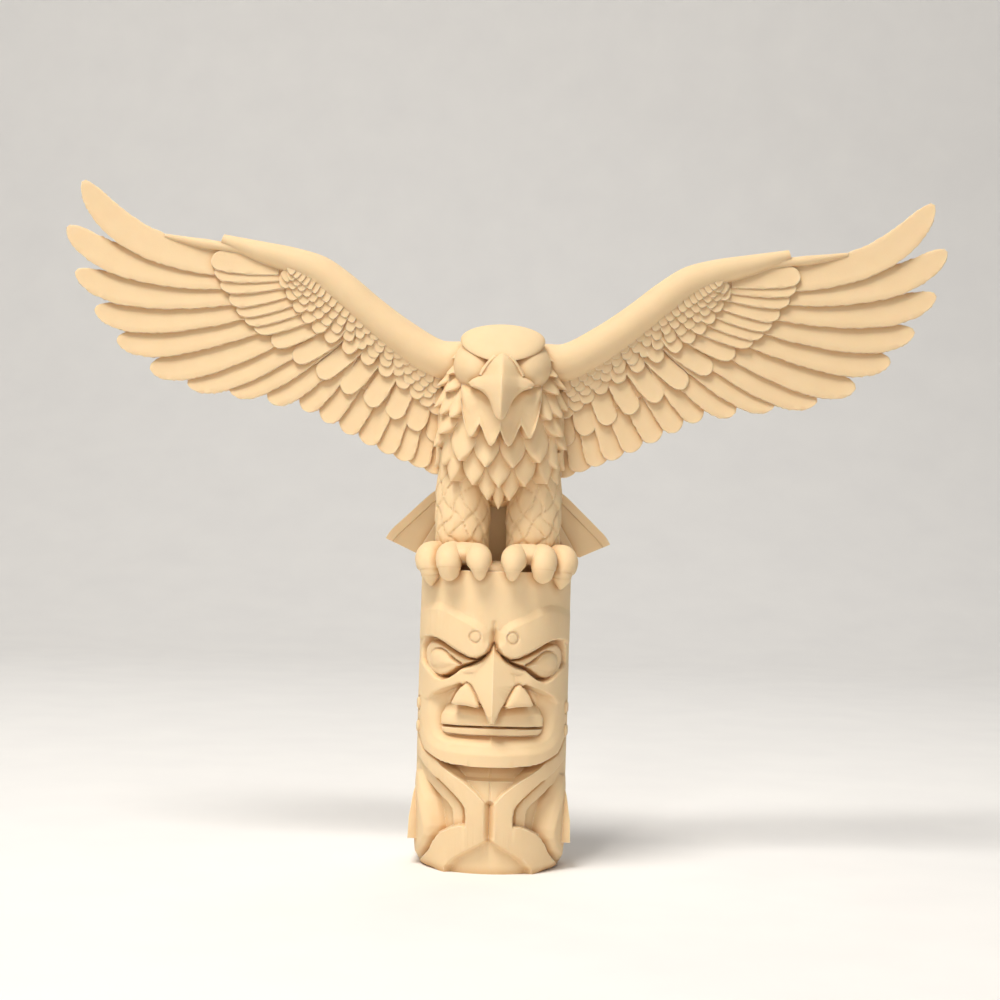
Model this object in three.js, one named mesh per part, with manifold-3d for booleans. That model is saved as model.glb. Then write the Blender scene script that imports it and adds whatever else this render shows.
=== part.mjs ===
// A miniature totem pole carved from one block of cream tooling resin: an eagle with raised wings
// stands on the rim of a round pole, whose front carries a square-jawed face over a crossed-limb body.
// Millimetres, +Z up, the front faces -Y, and the origin is the centre of the pole's flat foot.
import * as THREE from "three";
import { mergeVertices } from "three/addons/utils/BufferGeometryUtils.js";
import Module from "manifold-3d";

// Pole
const POLE_HEIGHT = 42.5;
const POLE_RADIUS = 10.8;
const POLE_SIDES = 30;
const COLLAR_INSET = 0.05;
const COLLAR_HEIGHT = 4.9;
const DISH_RADIUS = 8.8;
const DISH_DEPTH = 1.3;
const DOME_RADIUS = 3.4;
const DOME_RISE = 1.2;
const EAR_RADIUS = 0.75;

// How far each carved level of the pole's front stands out from its skin, or lies below it
const LEVEL = {
  brow: 0.35, jaw: 0.5, socket: -1.5, lid: -0.8, eye: -0.2, mouth: -1.9, upperLip: -0.6, lowerLip: -0.9,
  throat: -2.2, innerBand: -0.85, panel: -1.8, belly: -0.8, knee: 0.7,
};

// Eagle: its body's middle stands over the pole's rim, and its head over the body's middle
const BODY_RISE = 20.5;
const BODY_HEIGHT = POLE_HEIGHT + BODY_RISE;
const HEAD_RISE = 14.2;
const HEAD_TOP = BODY_HEIGHT + HEAD_RISE;
const HEAD_HALF_WIDTH = 6.1;
const HEAD_HALF_DEPTH = 6.4;
const HEAD_CENTRE_Y = -2.6;
const CROWN_CENTRE_Y = -4.0;
const CROWN_HALF_DEPTH = 5.6;
const CROWN_DROOP = 2.0;
const CROWN_RISE = 2.0;
const BEAK_DROP = 13.4;
const BEAK_REACH = 13.4;
const BEAK_HALF_WIDTH = 3.2;
const BODY_CENTRE_Y = -0.4;
const BODY_HALF_WIDTH = 9.2;
const BODY_HALF_DEPTH = 7.2;
const BODY_HALF_HEIGHT = 12.5;
const PLUMAGE_HALF_HEIGHT = 14.5;
const SCALE_RIDGE = 0.2;
const SCALE_ROOT = 0.5;
const MANTLE_FEATHERS = 6;
const MANTLE_ANGLE = 1.1;
const LEG_SPACING = 10.0;
const LEG_RADIUS = 3.6;

// Wings
const WING_THICKNESS = 1.1;
const WING_SET_BACK = 1.2;
const WING_SWEEP = 3.0;
const WING_REACH = 64;
const PRIMARIES = 9;
const SECONDARIES = 8;
const FLIGHT_HALF_WIDTH = 2.3;
const SECONDARY_HALF_WIDTH = 2.1;
const GREATER_COVERTS = 15;
const GREATER_HALF_WIDTH = 1.75;
const MEDIAN_COVERTS = 12;
const MEDIAN_HALF_WIDTH = 1.3;
const FEATHER_TILT = 0.2;
const LAYER_STEP = 0.5;

// Tail, in degrees where it spreads
const TAIL_FEATHERS = 7;
const TAIL_LENGTH = 19.8;
const TAIL_SPREAD = 88;
const TAIL_ROOT_Y = 3.4;
const TAIL_ROOT_DROP = 3;
const TAIL_SLOPE = 0.42;
const TAIL_HALF_WIDTH = 2.9;
const TAIL_THICKNESS = 1.3;

// The carving's points are drawn for a pole, wings and a body of these sizes, and grow with the real ones.
const DRAWN = { poleHeight: 42.5, poleRadius: 10.8, wingReach: 64, bodyHeight: 63 };
const poleWide = POLE_RADIUS / DRAWN.poleRadius;
const poleTall = POLE_HEIGHT / DRAWN.poleHeight;
const wingScale = WING_REACH / DRAWN.wingReach;

const CREAM = new THREE.MeshStandardMaterial({ color: 0xe9c796, roughness: 0.62, metalness: 0 });

const wasm = await Module();
wasm.setup();

// Solids from three.js geometry

function solid(geometry) {
  const bare = geometry.clone();
  bare.deleteAttribute("normal");
  bare.deleteAttribute("uv");
  const merged = mergeVertices(bare, 1e-4);
  const vertProperties = new Float32Array(merged.attributes.position.array);
  const triVerts = new Uint32Array(merged.index.array);
  const made = new wasm.Manifold(new wasm.Mesh({ numProp: 3, vertProperties, triVerts }));
  if (made.volume() > 0) return made;
  // A shape that was mirrored on the way has its faces turned inwards.
  return new wasm.Manifold(new wasm.Mesh({ numProp: 3, vertProperties, triVerts: triVerts.reverse() }));
}

// Moves every vertex of a geometry to the place that the function gives for it.
function mapped(geometry, place) {
  const position = geometry.attributes.position;
  const point = new THREE.Vector3();
  for (let i = 0; i < position.count; i++) {
    point.fromBufferAttribute(position, i);
    const moved = place(point);
    position.setXYZ(i, moved.x, moved.y, moved.z);
  }
  return geometry;
}

function both(geometry) {
  return [solid(geometry), solid(mapped(geometry.clone(), (p) => new THREE.Vector3(-p.x, p.y, p.z)))];
}

function geometryOf(made) {
  const { vertProperties, triVerts } = made.getMesh();
  const geometry = new THREE.BufferGeometry();
  geometry.setAttribute("position", new THREE.BufferAttribute(vertProperties, 3));
  geometry.setIndex(new THREE.BufferAttribute(triVerts, 1));
  return geometry;
}

function union(solids) {
  return solids.reduce((sum, next) => sum.add(next));
}

const mix = (a, b, t) => a + (b - a) * t;
const xz = (x, z) => new THREE.Vector3(x, 0, z);

// A smooth curve through front-view points [x, z] or space points [x, y, z].
function through(points) {
  const corners = points.map((p) => (p.length === 2 ? xz(p[0], p[1]) : new THREE.Vector3(...p)));
  return new THREE.CatmullRomCurve3(corners, false, "centripetal");
}

// Reads a list of values that belong to evenly spaced stations.
function along(values, t) {
  const at = Math.min(Math.max(t, 0), 1) * (values.length - 1);
  const i = Math.min(Math.floor(at), values.length - 2);
  return mix(values[i], values[i + 1], at - i);
}

// A limb: a closed tube along a curve, with its half widths across and in depth at each station.
function limb(curve, widths, depths, sides = 10, steps = 8) {
  const tube = new THREE.CylinderGeometry(1, 1, 1, sides, steps);
  return mapped(tube, (p) => {
    const t = p.y + 0.5;
    const centre = curve.getPoint(t);
    const ahead = curve.getTangent(t);
    const side = new THREE.Vector3(-ahead.z, 0, ahead.x);
    if (side.lengthSq() < 1e-3) side.set(1, 0, 0);
    side.normalize();
    const out = new THREE.Vector3().crossVectors(ahead, side).normalize();
    return centre.addScaledVector(side, p.x * along(widths, t)).addScaledVector(out, p.z * along(depths, t));
  });
}

// An outline drawn in the front view, as straight runs between [x, z] points.
function outline(points) {
  return new THREE.Shape(points.map(([x, z]) => new THREE.Vector2(x, z)));
}

// A prism with that outline, from the pole's axis out to the front.
function prism(points, reach = 16) {
  const block = new THREE.ExtrudeGeometry(outline(points), { depth: reach, bevelEnabled: false });
  return fitted(block.rotateX(Math.PI / 2));
}

// Brings a shape of the drawn pole to the real pole's width and height.
function fitted(geometry) {
  return geometry.scale(poleWide, poleWide, poleTall);
}

const column = (radius, bottom, top) =>
  new THREE.CylinderGeometry(radius, radius, top - bottom, POLE_SIDES)
    .rotateX(Math.PI / 2)
    .translate(0, 0, (top + bottom) / 2);

// A carved level keeps its radius at the front. A sunk one is as wide as the pole, so that its depth dies
// away towards the sides.
const LEVEL_EDGE = 0.1;

function levelAt(level) {
  const radius = POLE_RADIUS + level;
  const widen = Math.max(1, (POLE_RADIUS - LEVEL_EDGE) / radius);
  return solid(column(radius, -1, POLE_HEIGHT + 1).scale(widen, 1, 1));
}

// Raised work: the outline's prism, cut off at a level of the pole, on both sides of the face.
function raised(points, level) {
  return union(both(prism(points))).intersect(levelAt(level));
}

// Sunk work: what to take away so that the floor of the outline lies at a level.
function sunk(points, level) {
  return union(both(prism(points))).subtract(levelAt(level));
}

// Pole

const BROW = [
  [0.45, 33.4], [0.75, 34.8], [7.4, 37.5], [9.4, 37.6], [11.6, 36.4],
  [11.6, 32.6], [9.1, 32.8], [4.0, 30.6], [2.4, 30.35], [0.9, 31.5],
];
const SOCKET = [
  [0.0, 34.6], [1.2, 31.2], [8.6, 33.8], [10.1, 33.0],
  [10.3, 29.6], [9.3, 27.7], [7.5, 26.8], [2.4, 29.6], [0.0, 31.2],
];
const LID = [
  [2.3, 30.3], [7.6, 32.4], [9.3, 32.5], [10.4, 32.0], [10.4, 29.0], [9.1, 27.9], [7.5, 27.2], [5.0, 28.3],
];
const EYEBALL = [
  [5.1, 29.4], [7.2, 31.2], [8.4, 31.4], [9.4, 30.5], [9.5, 29.2], [8.8, 28.0], [7.6, 27.8],
];
const MOUTH = [
  [0, 27.4], [4.7, 26.9], [8.9, 24.9], [9.5, 23.6], [9.5, 20.8], [9.0, 19.0], [7.6, 18.1], [0, 17.9],
];
const UPPER_LIP = [[0, 20.6], [7.3, 20.4], [7.5, 21.6], [5.6, 24.4], [0, 25]];
const LOWER_LIP = [[0, 19.5], [6.9, 19.4], [7.3, 20.2], [7.0, 20.6], [0, 20.8]];
const JAW = [
  [0, 15.3], [5.0, 15.4], [8.0, 16.1], [10.0, 17.4], [12.0, 19.4], [12.0, 25.4],
  [10.2, 25.6], [8.9, 24.9], [9.5, 23.6], [9.5, 20.8], [9.0, 19.0], [7.6, 18.1], [0, 17.9],
];
const THROAT = [[0, 15.3], [7.6, 15.4], [4.0, 13.1], [0.6, 9.9], [0, 9.6]];
const CROTCH = [[0, 10.2], [0.75, 10.0], [0.75, 5.3], [0, 5.0]];
const BELLY = [[0, 5.2], [5.3, 2.6], [6.4, 1.2], [6.9, -0.5], [0, -0.5]];
const INNER_BAND = [
  [10.9, 14.0], [7.2, 12.2], [4.2, 9.3], [3.95, 8.3], [3.95, 6.8],
  [5.6, 6.3], [5.6, 7.9], [6.9, 10.0], [8.7, 11.5], [10.9, 12.6],
];
const PANEL = [
  [10.9, 12.6], [8.7, 11.5], [6.9, 10.0], [5.6, 7.9], [5.6, 6.3], [8.4, 3.9], [9.2, 2.4], [10.9, 2.4],
];
const KNEE = [
  [10.4, 12.9], [9.1, 8.7], [8.3, 5.4], [8.9, 3.6], [8.9, 0.3], [10.1, 0.9], [12, 4.0], [12, 12.0],
];

// A block with a ridge down its front, from the top station to the bottom one. Each station has its height,
// half width, the reach of the ridge, how far the sides fall back from it, and the reach of the block's back.
function ridge({ height, halfWidth, reach, fall, back }) {
  const block = new THREE.BoxGeometry(2, 1, 1, 2, height.length - 1, 1);
  return mapped(block, (p) => {
    const t = 0.5 - p.y;
    const front = along(reach, t) - Math.abs(p.x) * along(fall, t);
    return new THREE.Vector3(p.x * along(halfWidth, t), -(p.z > 0 ? front : along(back, t)), along(height, t));
  });
}

// The nose of the face grows out of the brow and ends in an overhanging point.
const nose = () =>
  ridge({
    height: [32.2, 29.6, 26.9, 24.8, 23.2, 21.0],
    halfWidth: [0.4, 2.2, 3.4, 2.4, 1.3, 0.12],
    reach: [10.4, 11.0, 11.9, 12.4, 12.5, 11.2],
    fall: [0.2, 0.9, 1.6, 1.3, 1.0, 0.2],
    back: [7, 7, 7, 7, 7, 7],
  });

// One nostril: a small hood whose lower edge overhangs the lip.
function nostril() {
  const hood = new THREE.BoxGeometry(1, 1, 1, 2, 2, 1);
  return mapped(hood, (p) => {
    const down = 0.5 - p.y;
    const x = mix(mix(3.4, 1.6, down), mix(4.4, 6.1, down), p.x + 0.5);
    const z = mix(26.6, 23.2 + 0.3 * (p.x + 0.5), down);
    const bulge = 0.5 * (1 - 4 * p.x * p.x);
    const y = p.z > 0 ? -(mix(9.9, 11.2, down) + bulge) : -7;
    return new THREE.Vector3(x, y, z);
  });
}

function throatWedge() {
  const wedge = new THREE.BoxGeometry(1, 1, 1, 2, 1, 1);
  return mapped(wedge, (p) => {
    const down = 0.5 - p.y;
    const ridge = 1 - Math.abs(2 * p.x);
    const y = p.z > 0 ? -(mix(8.3, 9.6, down) + 0.5 * ridge * down) : -6;
    return new THREE.Vector3(p.x * mix(12, 1.6, down), y, mix(14.4, 9.8, down));
  });
}

// The flat wing tip of the lower figure, folded against each side of the pole.
function sideFlap() {
  const shape = new THREE.Shape();
  shape.moveTo(-1.5, 13.4);
  shape.quadraticCurveTo(3.5, 10.5, 5.0, 4.2);
  shape.lineTo(-4.0, 3.8);
  shape.quadraticCurveTo(-4.5, 9, -1.5, 13.4);
  const plate = new THREE.ExtrudeGeometry(shape, { depth: 5.1, bevelEnabled: false, curveSegments: 3 });
  return mapped(plate, (p) => {
    const taper = mix(1, 0.9, Math.max(0, p.y - 4) / 9.4);
    return new THREE.Vector3((7 + p.z) * taper, p.x, p.y);
  });
}

// Two small discs stand one above the other on each side of the head.
const EAR_HEIGHTS = [23.2, 19.8];

function earDisc(height) {
  return new THREE.CylinderGeometry(EAR_RADIUS, EAR_RADIUS, 2, 8)
    .rotateZ(Math.PI / 2)
    .translate(POLE_RADIUS - EAR_RADIUS, -2.2, height * poleTall);
}

function pole() {
  const collarBottom = POLE_HEIGHT - COLLAR_HEIGHT;
  let body = solid(column(POLE_RADIUS, 0, collarBottom));
  body = body.add(solid(column(POLE_RADIUS - COLLAR_INSET, collarBottom - 0.5, POLE_HEIGHT)));
  body = body.subtract(solid(column(DISH_RADIUS, POLE_HEIGHT - DISH_DEPTH, POLE_HEIGHT + 1)));
  const dome = new THREE.SphereGeometry(1, 10, 6)
    .scale(DOME_RADIUS, DOME_RADIUS, DISH_DEPTH + DOME_RISE)
    .translate(0, 0, POLE_HEIGHT - DISH_DEPTH);
  const cuts = [
    sunk(SOCKET, LEVEL.socket), sunk(MOUTH, LEVEL.mouth), sunk(THROAT, LEVEL.throat),
    sunk(CROTCH, LEVEL.panel), sunk(BELLY, LEVEL.belly), sunk(PANEL, LEVEL.panel),
    sunk(INNER_BAND, LEVEL.innerBand),
  ];
  const additions = [
    raised(BROW, LEVEL.brow), raised(LID, LEVEL.lid), raised(EYEBALL, LEVEL.eye),
    raised(UPPER_LIP, LEVEL.upperLip), raised(LOWER_LIP, LEVEL.lowerLip), raised(JAW, LEVEL.jaw),
    raised(KNEE, LEVEL.knee), solid(fitted(nose())), solid(fitted(throatWedge())), solid(dome),
    ...both(fitted(nostril())), ...both(fitted(sideFlap())),
    ...EAR_HEIGHTS.flatMap((height) => both(earDisc(height))),
  ];
  return union([body.subtract(union(cuts)), ...additions]);
}

// Feathers

// How far the blade's edge stands from its middle line, as a share of its full half width.
const roundEnd = (t) => Math.sqrt(Math.max(0.04, 1 - Math.max(0, (t - 0.6) / 0.4) ** 2.4));
const pointEnd = (t) => Math.min(1, 0.5 + 1.3 * t) * Math.max(0.05, 1 - Math.max(0, (t - 0.4) / 0.6) ** 1.3);

// A feather blade. The place function takes the distance along (0 to 1), across (-1 to 1) and the depth.
// Its stations draw closer together towards the tip, where the outline turns.
function blade({ steps, across, end, place, crowd = 1.8 }) {
  const box = new THREE.BoxGeometry(1, 1, 1, steps, across, 1);
  return mapped(box, (p) => {
    const t = 1 - (0.5 - p.x) ** crowd;
    return place(t, 2 * p.y * end(t), p.z);
  });
}

// The wing is carved flat, with its back on the plane y = 0, and is then swept back towards the tip.
const swept = (p) => new THREE.Vector3(p.x, p.y + WING_SET_BACK + WING_SWEEP * (p.x / WING_REACH) ** 1.3, p.z);

// A feather of the wing, from root to tip in the front view. It starts below its chord by the angle bow,
// then curves up to the tip. Its lower edge stands forward of the feather below it, and a covert reaches
// back into the feathers that it covers.
function wingFeather({ root, tip, bow, bend, halfWidth, layer, steps, across = 1, end = roundEnd }) {
  const chord = tip.clone().sub(root);
  const start = Math.atan2(chord.z, chord.x) - bow;
  const reach = chord.length() * bend;
  const control = root.clone().add(xz(Math.cos(start) * reach, Math.sin(start) * reach));
  const middle = new THREE.QuadraticBezierCurve3(root, control, tip);
  return blade({
    steps,
    across,
    end,
    place: (t, side, depth) => {
      const centre = middle.getPoint(t);
      const ahead = middle.getTangent(t);
      const x = centre.x + ahead.z * side * halfWidth;
      const z = centre.z - ahead.x * side * halfWidth;
      const front = WING_THICKNESS + layer + side * halfWidth * FEATHER_TILT;
      const back = layer > 0 ? WING_THICKNESS * 0.3 : 0;
      return new THREE.Vector3(x, depth > 0 ? -front : -back, z);
    },
  });
}

// Brings points of the drawn wing, [x, z] or [x, y, z], to the real wing's reach and height.
function wingPoints(points) {
  return points.map((p) => {
    const z = BODY_HEIGHT + (p.at(-1) - DRAWN.bodyHeight) * wingScale;
    return [...p.slice(0, -1).map((value) => value * wingScale), z];
  });
}

const wingLine = (points) => through(wingPoints(points));

const FLIGHT_TIPS = wingLine([
  [62.3, 97.6], [64.4, 90.9], [63.0, 84.4], [60.0, 79.0], [56.6, 74.6], [51.6, 70.6], [46.0, 68.5],
  [39.8, 67.7], [34.2, 66.6], [29.2, 65.2],
]);
const FLIGHT_ROOTS = wingLine([[37.5, 86.3], [32.6, 83.0], [28.2, 80.4], [24.0, 77.6], [21.5, 75.2]]);
const SECONDARY_TIPS = wingLine([[29.2, 65.2], [18.3, 59.5], [9.6, 56.0]]);
const SECONDARY_ROOTS = wingLine([[21.5, 75.2], [15.0, 70.6], [9.2, 66.0]]);
const GREATER_TIPS = wingLine([
  [42.9, 86.6], [42.0, 84.0], [40.0, 80.6], [38.3, 78.4], [36.0, 76.4], [31.3, 72.8], [25.7, 69.2],
  [19.9, 66.0], [14.5, 63.2], [9.6, 60.6],
]);
const GREATER_ROOTS = wingLine([[33.0, 85.8], [28.0, 83.2], [23.5, 79.6], [16.0, 74.4], [9.2, 70.0]]);
const MEDIAN_TIPS = wingLine([[32.8, 83.2], [30.0, 78.6], [26.2, 75.2], [19.4, 71.3], [13.0, 67.2], [9.6, 64.6]]);
const MEDIAN_ROOTS = wingLine([[28.5, 85.4], [25.0, 83.0], [20.0, 79.0], [14.5, 75.0], [9.4, 71.4]]);

function flightFeathers() {
  const made = [];
  for (let i = 0; i < PRIMARIES; i++) {
    const t = i / PRIMARIES;
    made.push(wingFeather({
      root: FLIGHT_ROOTS.getPoint(t),
      tip: FLIGHT_TIPS.getPoint(t),
      bow: THREE.MathUtils.degToRad(10 + 16 * Math.exp(-i / 1.5)),
      bend: 0.67 + 0.11 * (1 - Math.exp(-i / 2)),
      halfWidth: FLIGHT_HALF_WIDTH,
      layer: 0,
      steps: 5,
    }));
  }
  for (let i = 0; i < SECONDARIES; i++) {
    const t = i / (SECONDARIES - 1);
    made.push(wingFeather({
      root: SECONDARY_ROOTS.getPoint(t),
      tip: SECONDARY_TIPS.getPoint(t),
      bow: THREE.MathUtils.degToRad(mix(8, 3, t)),
      bend: 0.75,
      halfWidth: SECONDARY_HALF_WIDTH,
      layer: 0,
      steps: 3,
    }));
  }
  return made;
}

function covertRow({ count, tips, roots, halfWidth, layer, steps }) {
  return Array.from({ length: count }, (_, i) => {
    const t = i / (count - 1);
    return wingFeather({
      root: roots.getPoint(t),
      tip: tips.getPoint(t),
      bow: THREE.MathUtils.degToRad(6),
      bend: 0.7,
      halfWidth,
      layer,
      steps,
    });
  });
}

// The smooth front edge of the wing, from the shoulder over the wrist to its blunt end.
function wingArm() {
  const line = wingLine([
    [5.0, -1.4, 72.0], [9.5, -1.3, 72.6], [15.0, -1.2, 75.8], [19.5, -1.1, 79.1], [23.6, -1.1, 82.5],
    [27.0, -1.0, 84.9], [31.0, -1.0, 86.4], [36.5, -0.8, 87.9], [41.4, -0.7, 89.4],
  ]);
  const widths = [3.4, 2.8, 2.5, 2.3, 2.25, 2.2, 2.0, 1.5, 0.5].map((width) => width * wingScale);
  const depths = [3.4, 2.9, 2.6, 2.3, 2.1, 1.9, 1.7, 1.3, 0.6].map((depth) => depth * wingScale);
  return limb(line, widths, depths, 8, 9);
}

function thumbFeather() {
  const line = wingLine([[38, -0.9, 87.9], [44, -0.8, 88.7], [50, -0.6, 89.8]]);
  return limb(line, [0.7, 0.75, 0.3], [0.8, 0.7, 0.3], 6, 3);
}

// The flat inside of the wing, which every feather grows out of.
function wingPanel() {
  const shape = outline(wingPoints([
    [4, 74], [9.5, 74], [15, 76.5], [20, 80], [25, 84], [31, 87], [37, 87.8], [40, 86], [38, 82],
    [34.5, 78], [30.5, 74.6], [24, 70.2], [17, 66.4], [9, 62.5], [4, 62],
  ]));
  return new THREE.ExtrudeGeometry(shape, { depth: WING_THICKNESS, bevelEnabled: false }).rotateX(Math.PI / 2);
}

function wing() {
  const flat = [
    wingArm(),
    wingPanel(),
    thumbFeather(),
    ...flightFeathers(),
    ...covertRow({ count: GREATER_COVERTS, tips: GREATER_TIPS, roots: GREATER_ROOTS,
      halfWidth: GREATER_HALF_WIDTH, layer: LAYER_STEP, steps: 2 }),
    ...covertRow({ count: MEDIAN_COVERTS, tips: MEDIAN_TIPS, roots: MEDIAN_ROOTS,
      halfWidth: MEDIAN_HALF_WIDTH, layer: 2 * LAYER_STEP, steps: 2 }),
  ];
  return mapped(geometryOf(union(flat.map(solid))), swept);
}

// Body, head, legs and tail

function trunk() {
  const ball = new THREE.SphereGeometry(1, 12, 8).rotateX(Math.PI / 2);
  return mapped(ball, (p) => {
    const taper = p.z < 0 ? 1 - 0.28 * p.z * p.z : 1;
    return new THREE.Vector3(
      p.x * BODY_HALF_WIDTH * taper,
      BODY_CENTRE_Y + p.y * BODY_HALF_DEPTH * taper,
      BODY_HEIGHT + p.z * BODY_HALF_HEIGHT);
  });
}

function skull() {
  return new THREE.SphereGeometry(1, 12, 8)
    .scale(HEAD_HALF_WIDTH, HEAD_HALF_DEPTH, HEAD_HALF_DEPTH)
    .translate(0, HEAD_CENTRE_Y, HEAD_TOP - HEAD_HALF_DEPTH);
}

// The flat crown with its heavy brows, which overhang the eyes.
function crown() {
  const ball = new THREE.SphereGeometry(1, 12, 6).rotateX(Math.PI / 2);
  return mapped(ball, (p) => {
    const droop = Math.max(0, -p.y) * (1 - p.x * p.x) * CROWN_DROOP;
    const z = HEAD_TOP - CROWN_RISE + p.z * (p.z > 0 ? CROWN_RISE : 0.75 * CROWN_RISE) - droop;
    return new THREE.Vector3(p.x * HEAD_HALF_WIDTH, CROWN_CENTRE_Y + p.y * CROWN_HALF_DEPTH, z);
  });
}

// The hooked beak hangs free of the chin at its tip.
const beak = () =>
  ridge({
    height: [0.32, 0.425, 0.545, 0.625, 0.715, 0.835, 0.925, 1].map((share) => HEAD_TOP - share * BEAK_DROP),
    halfWidth: [0.22, 0.63, 1, 0.81, 0.63, 0.45, 0.33, 0.16].map((share) => share * BEAK_HALF_WIDTH),
    reach: [0.7, 0.815, 0.91, 0.965, 0.985, 1, 0.99, 0.965].map((share) => share * BEAK_REACH),
    fall: [0.25, 0.6, 1.06, 0.94, 0.75, 0.53, 0.34, 0.1].map((share) => share * BEAK_HALF_WIDTH),
    back: [0.37, 0.37, 0.37, 0.485, 0.67, 0.805, 0.88, 0.925].map((share) => share * BEAK_REACH),
  });

function mouthCorner() {
  return new THREE.SphereGeometry(1, 6, 4)
    .scale(BEAK_HALF_WIDTH * 0.5, BEAK_REACH * 0.15, BEAK_HALF_WIDTH * 0.19)
    .translate(BEAK_HALF_WIDTH * 0.875, -BEAK_REACH * 0.61, HEAD_TOP - BEAK_DROP * 0.6);
}

// A pointed feather laid on the round body at an angle from its front, from a hidden root down to its tip.
// Its tip and length are shares of the plumage's half height, from the body's middle. The tip stands off the
// body by the lift, and the feather's middle line is a low ridge.
function scaleFeather({ angle, tip, length, halfWidth, lift, end = pointEnd }) {
  return blade({
    steps: 2,
    across: 2,
    end,
    crowd: 1,
    place: (t, side, depth) => {
      const share = tip + length * (1 - t);
      const z = BODY_HEIGHT + share * PLUMAGE_HALF_HEIGHT;
      const shrink = Math.sqrt(1 - share * share);
      const turn = angle + (side * halfWidth) / BODY_HALF_DEPTH;
      const grow = lift * t + SCALE_RIDGE * (1 - side * side);
      const reach = depth > 0 ? 1 : SCALE_ROOT;
      return new THREE.Vector3(
        Math.sin(turn) * (BODY_HALF_WIDTH * shrink + grow) * reach,
        BODY_CENTRE_Y - Math.cos(turn) * (BODY_HALF_DEPTH * shrink + grow) * reach,
        z);
    },
  });
}

// The ruff under the beak, then the rows of breast feathers below it.
const CHEST_ROWS = [
  { tip: -0.18, length: 0.45, count: 4, spread: 0.42, halfWidth: 2.0, lift: 1.7 },
  { tip: -0.37, length: 0.345, count: 4, spread: 0.5, halfWidth: 2.2, lift: 0.9 },
  { tip: -0.56, length: 0.345, count: 5, spread: 0.46, halfWidth: 2.1, lift: 0.9 },
  { tip: -0.69, length: 0.31, count: 2, spread: 0.5, halfWidth: 1.9, lift: 0.8 },
];

function plumage() {
  return CHEST_ROWS.flatMap((row) =>
    Array.from({ length: row.count }, (_, i) =>
      scaleFeather({ ...row, angle: (i - (row.count - 1) / 2) * row.spread })));
}

// Lobed feathers down each side of the neck, which cover the root of the wing.
function mantle() {
  return Array.from({ length: MANTLE_FEATHERS }, (_, i) =>
    scaleFeather({
      angle: MANTLE_ANGLE, tip: 0.607 - i * 0.186, length: 0.31, halfWidth: 2.0, lift: 0.9, end: roundEnd,
    }));
}

// The leg's heights are shares of the way from the rim to the body's middle.
function leg() {
  const hip = LEG_SPACING / 2;
  const line = through([
    [hip - 0.4, 0.4, 0.755], [hip, -0.6, 0.465], [hip, -1.4, 0.245], [hip, -1.6, 0.055], [hip, -1.6, -0.075],
  ].map(([x, y, share]) => [x, y, POLE_HEIGHT + share * BODY_RISE]));
  const widths = [1.08, 1.03, 0.97, 0.86, 0.72].map((share) => share * LEG_RADIUS);
  const depths = [1.17, 1.0, 0.92, 0.86, 0.83].map((share) => share * LEG_RADIUS);
  return limb(line, widths, depths, 8, 5);
}

// Each toe arches over the rim of the pole, and its claw points down the collar. Heights are over the rim.
const TOES = [
  { x: 2.35, knuckleY: -10.2, tip: [2.2, -11.3, -1.5] },
  { x: 6.85, knuckleY: -8.6, tip: [6.8, -9.2, -1.5] },
  { x: 9.7, knuckleY: -4.6, tip: [9.3, -6.3, -2.1] },
];

function toe({ x, knuckleY, tip }) {
  const hip = LEG_SPACING / 2;
  const line = through([
    [mix(hip, x, 0.3), -2.2, 1.9], [mix(hip, x, 0.9), knuckleY * 0.8, 1.9], [x, knuckleY - 1.0, 1.4],
    [mix(x, tip[0], 0.5), mix(knuckleY, tip[1], 0.6) - 1.1, 0.1], tip,
  ].map(([across, depth, rise]) => [across * poleWide, depth * poleWide, POLE_HEIGHT + rise]));
  const tube = new THREE.CylinderGeometry(1, 1, 1, 6, 6);
  const widths = [1.7, 1.8, 1.9, 1.7, 1.2, 0.6];
  return mapped(tube, (p) => {
    const t = p.y + 0.5;
    const ahead = line.getTangent(t);
    const side = new THREE.Vector3(-ahead.y, ahead.x, 0);
    if (side.lengthSq() < 0.02) side.set(1, 0, 0);
    side.normalize();
    if (side.x < 0) side.negate();
    const out = new THREE.Vector3().crossVectors(side, ahead).normalize();
    const r = along(widths, t);
    return line.getPoint(t).addScaledVector(side, p.x * r).addScaledVector(out, p.z * r);
  });
}

function tailFeather(index) {
  const half = (TAIL_FEATHERS - 1) / 2;
  const share = (index - half) / half;
  const angle = THREE.MathUtils.degToRad((share * TAIL_SPREAD) / 2);
  const ahead = xz(Math.sin(angle), -Math.cos(angle));
  const length = TAIL_LENGTH * (0.9 + 0.1 * Math.abs(share));
  return blade({
    steps: 3,
    across: 1,
    end: (t) => 0.35 + 0.65 * Math.min(1, 1.4 * t),
    place: (t, side, depth) => {
      const x = ahead.x * length * t - ahead.z * side * TAIL_HALF_WIDTH;
      const drop = -ahead.z * length * t - ahead.x * side * TAIL_HALF_WIDTH;
      const y = TAIL_ROOT_Y + drop * TAIL_SLOPE - Math.abs(share);
      return new THREE.Vector3(x, y - depth * TAIL_THICKNESS, BODY_HEIGHT - TAIL_ROOT_DROP - drop);
    },
  });
}

function eagle() {
  const single = [trunk(), skull(), crown(), beak(), ...plumage()];
  const paired = [mouthCorner(), leg(), ...TOES.map(toe), ...mantle(), wing()];
  for (let i = 0; i < TAIL_FEATHERS; i++) single.push(tailFeather(i));
  return union([...single.map(solid), ...paired.flatMap(both)]);
}

// The whole carving is one solid.

function meshOf(made, name) {
  const geometry = geometryOf(made);
  geometry.computeVertexNormals();
  const mesh = new THREE.Mesh(geometry, CREAM);
  mesh.name = name;
  return mesh;
}

const totem = new THREE.Group();
totem.add(meshOf(pole().add(eagle()), "totem_pole"));

export default totem;
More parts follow.
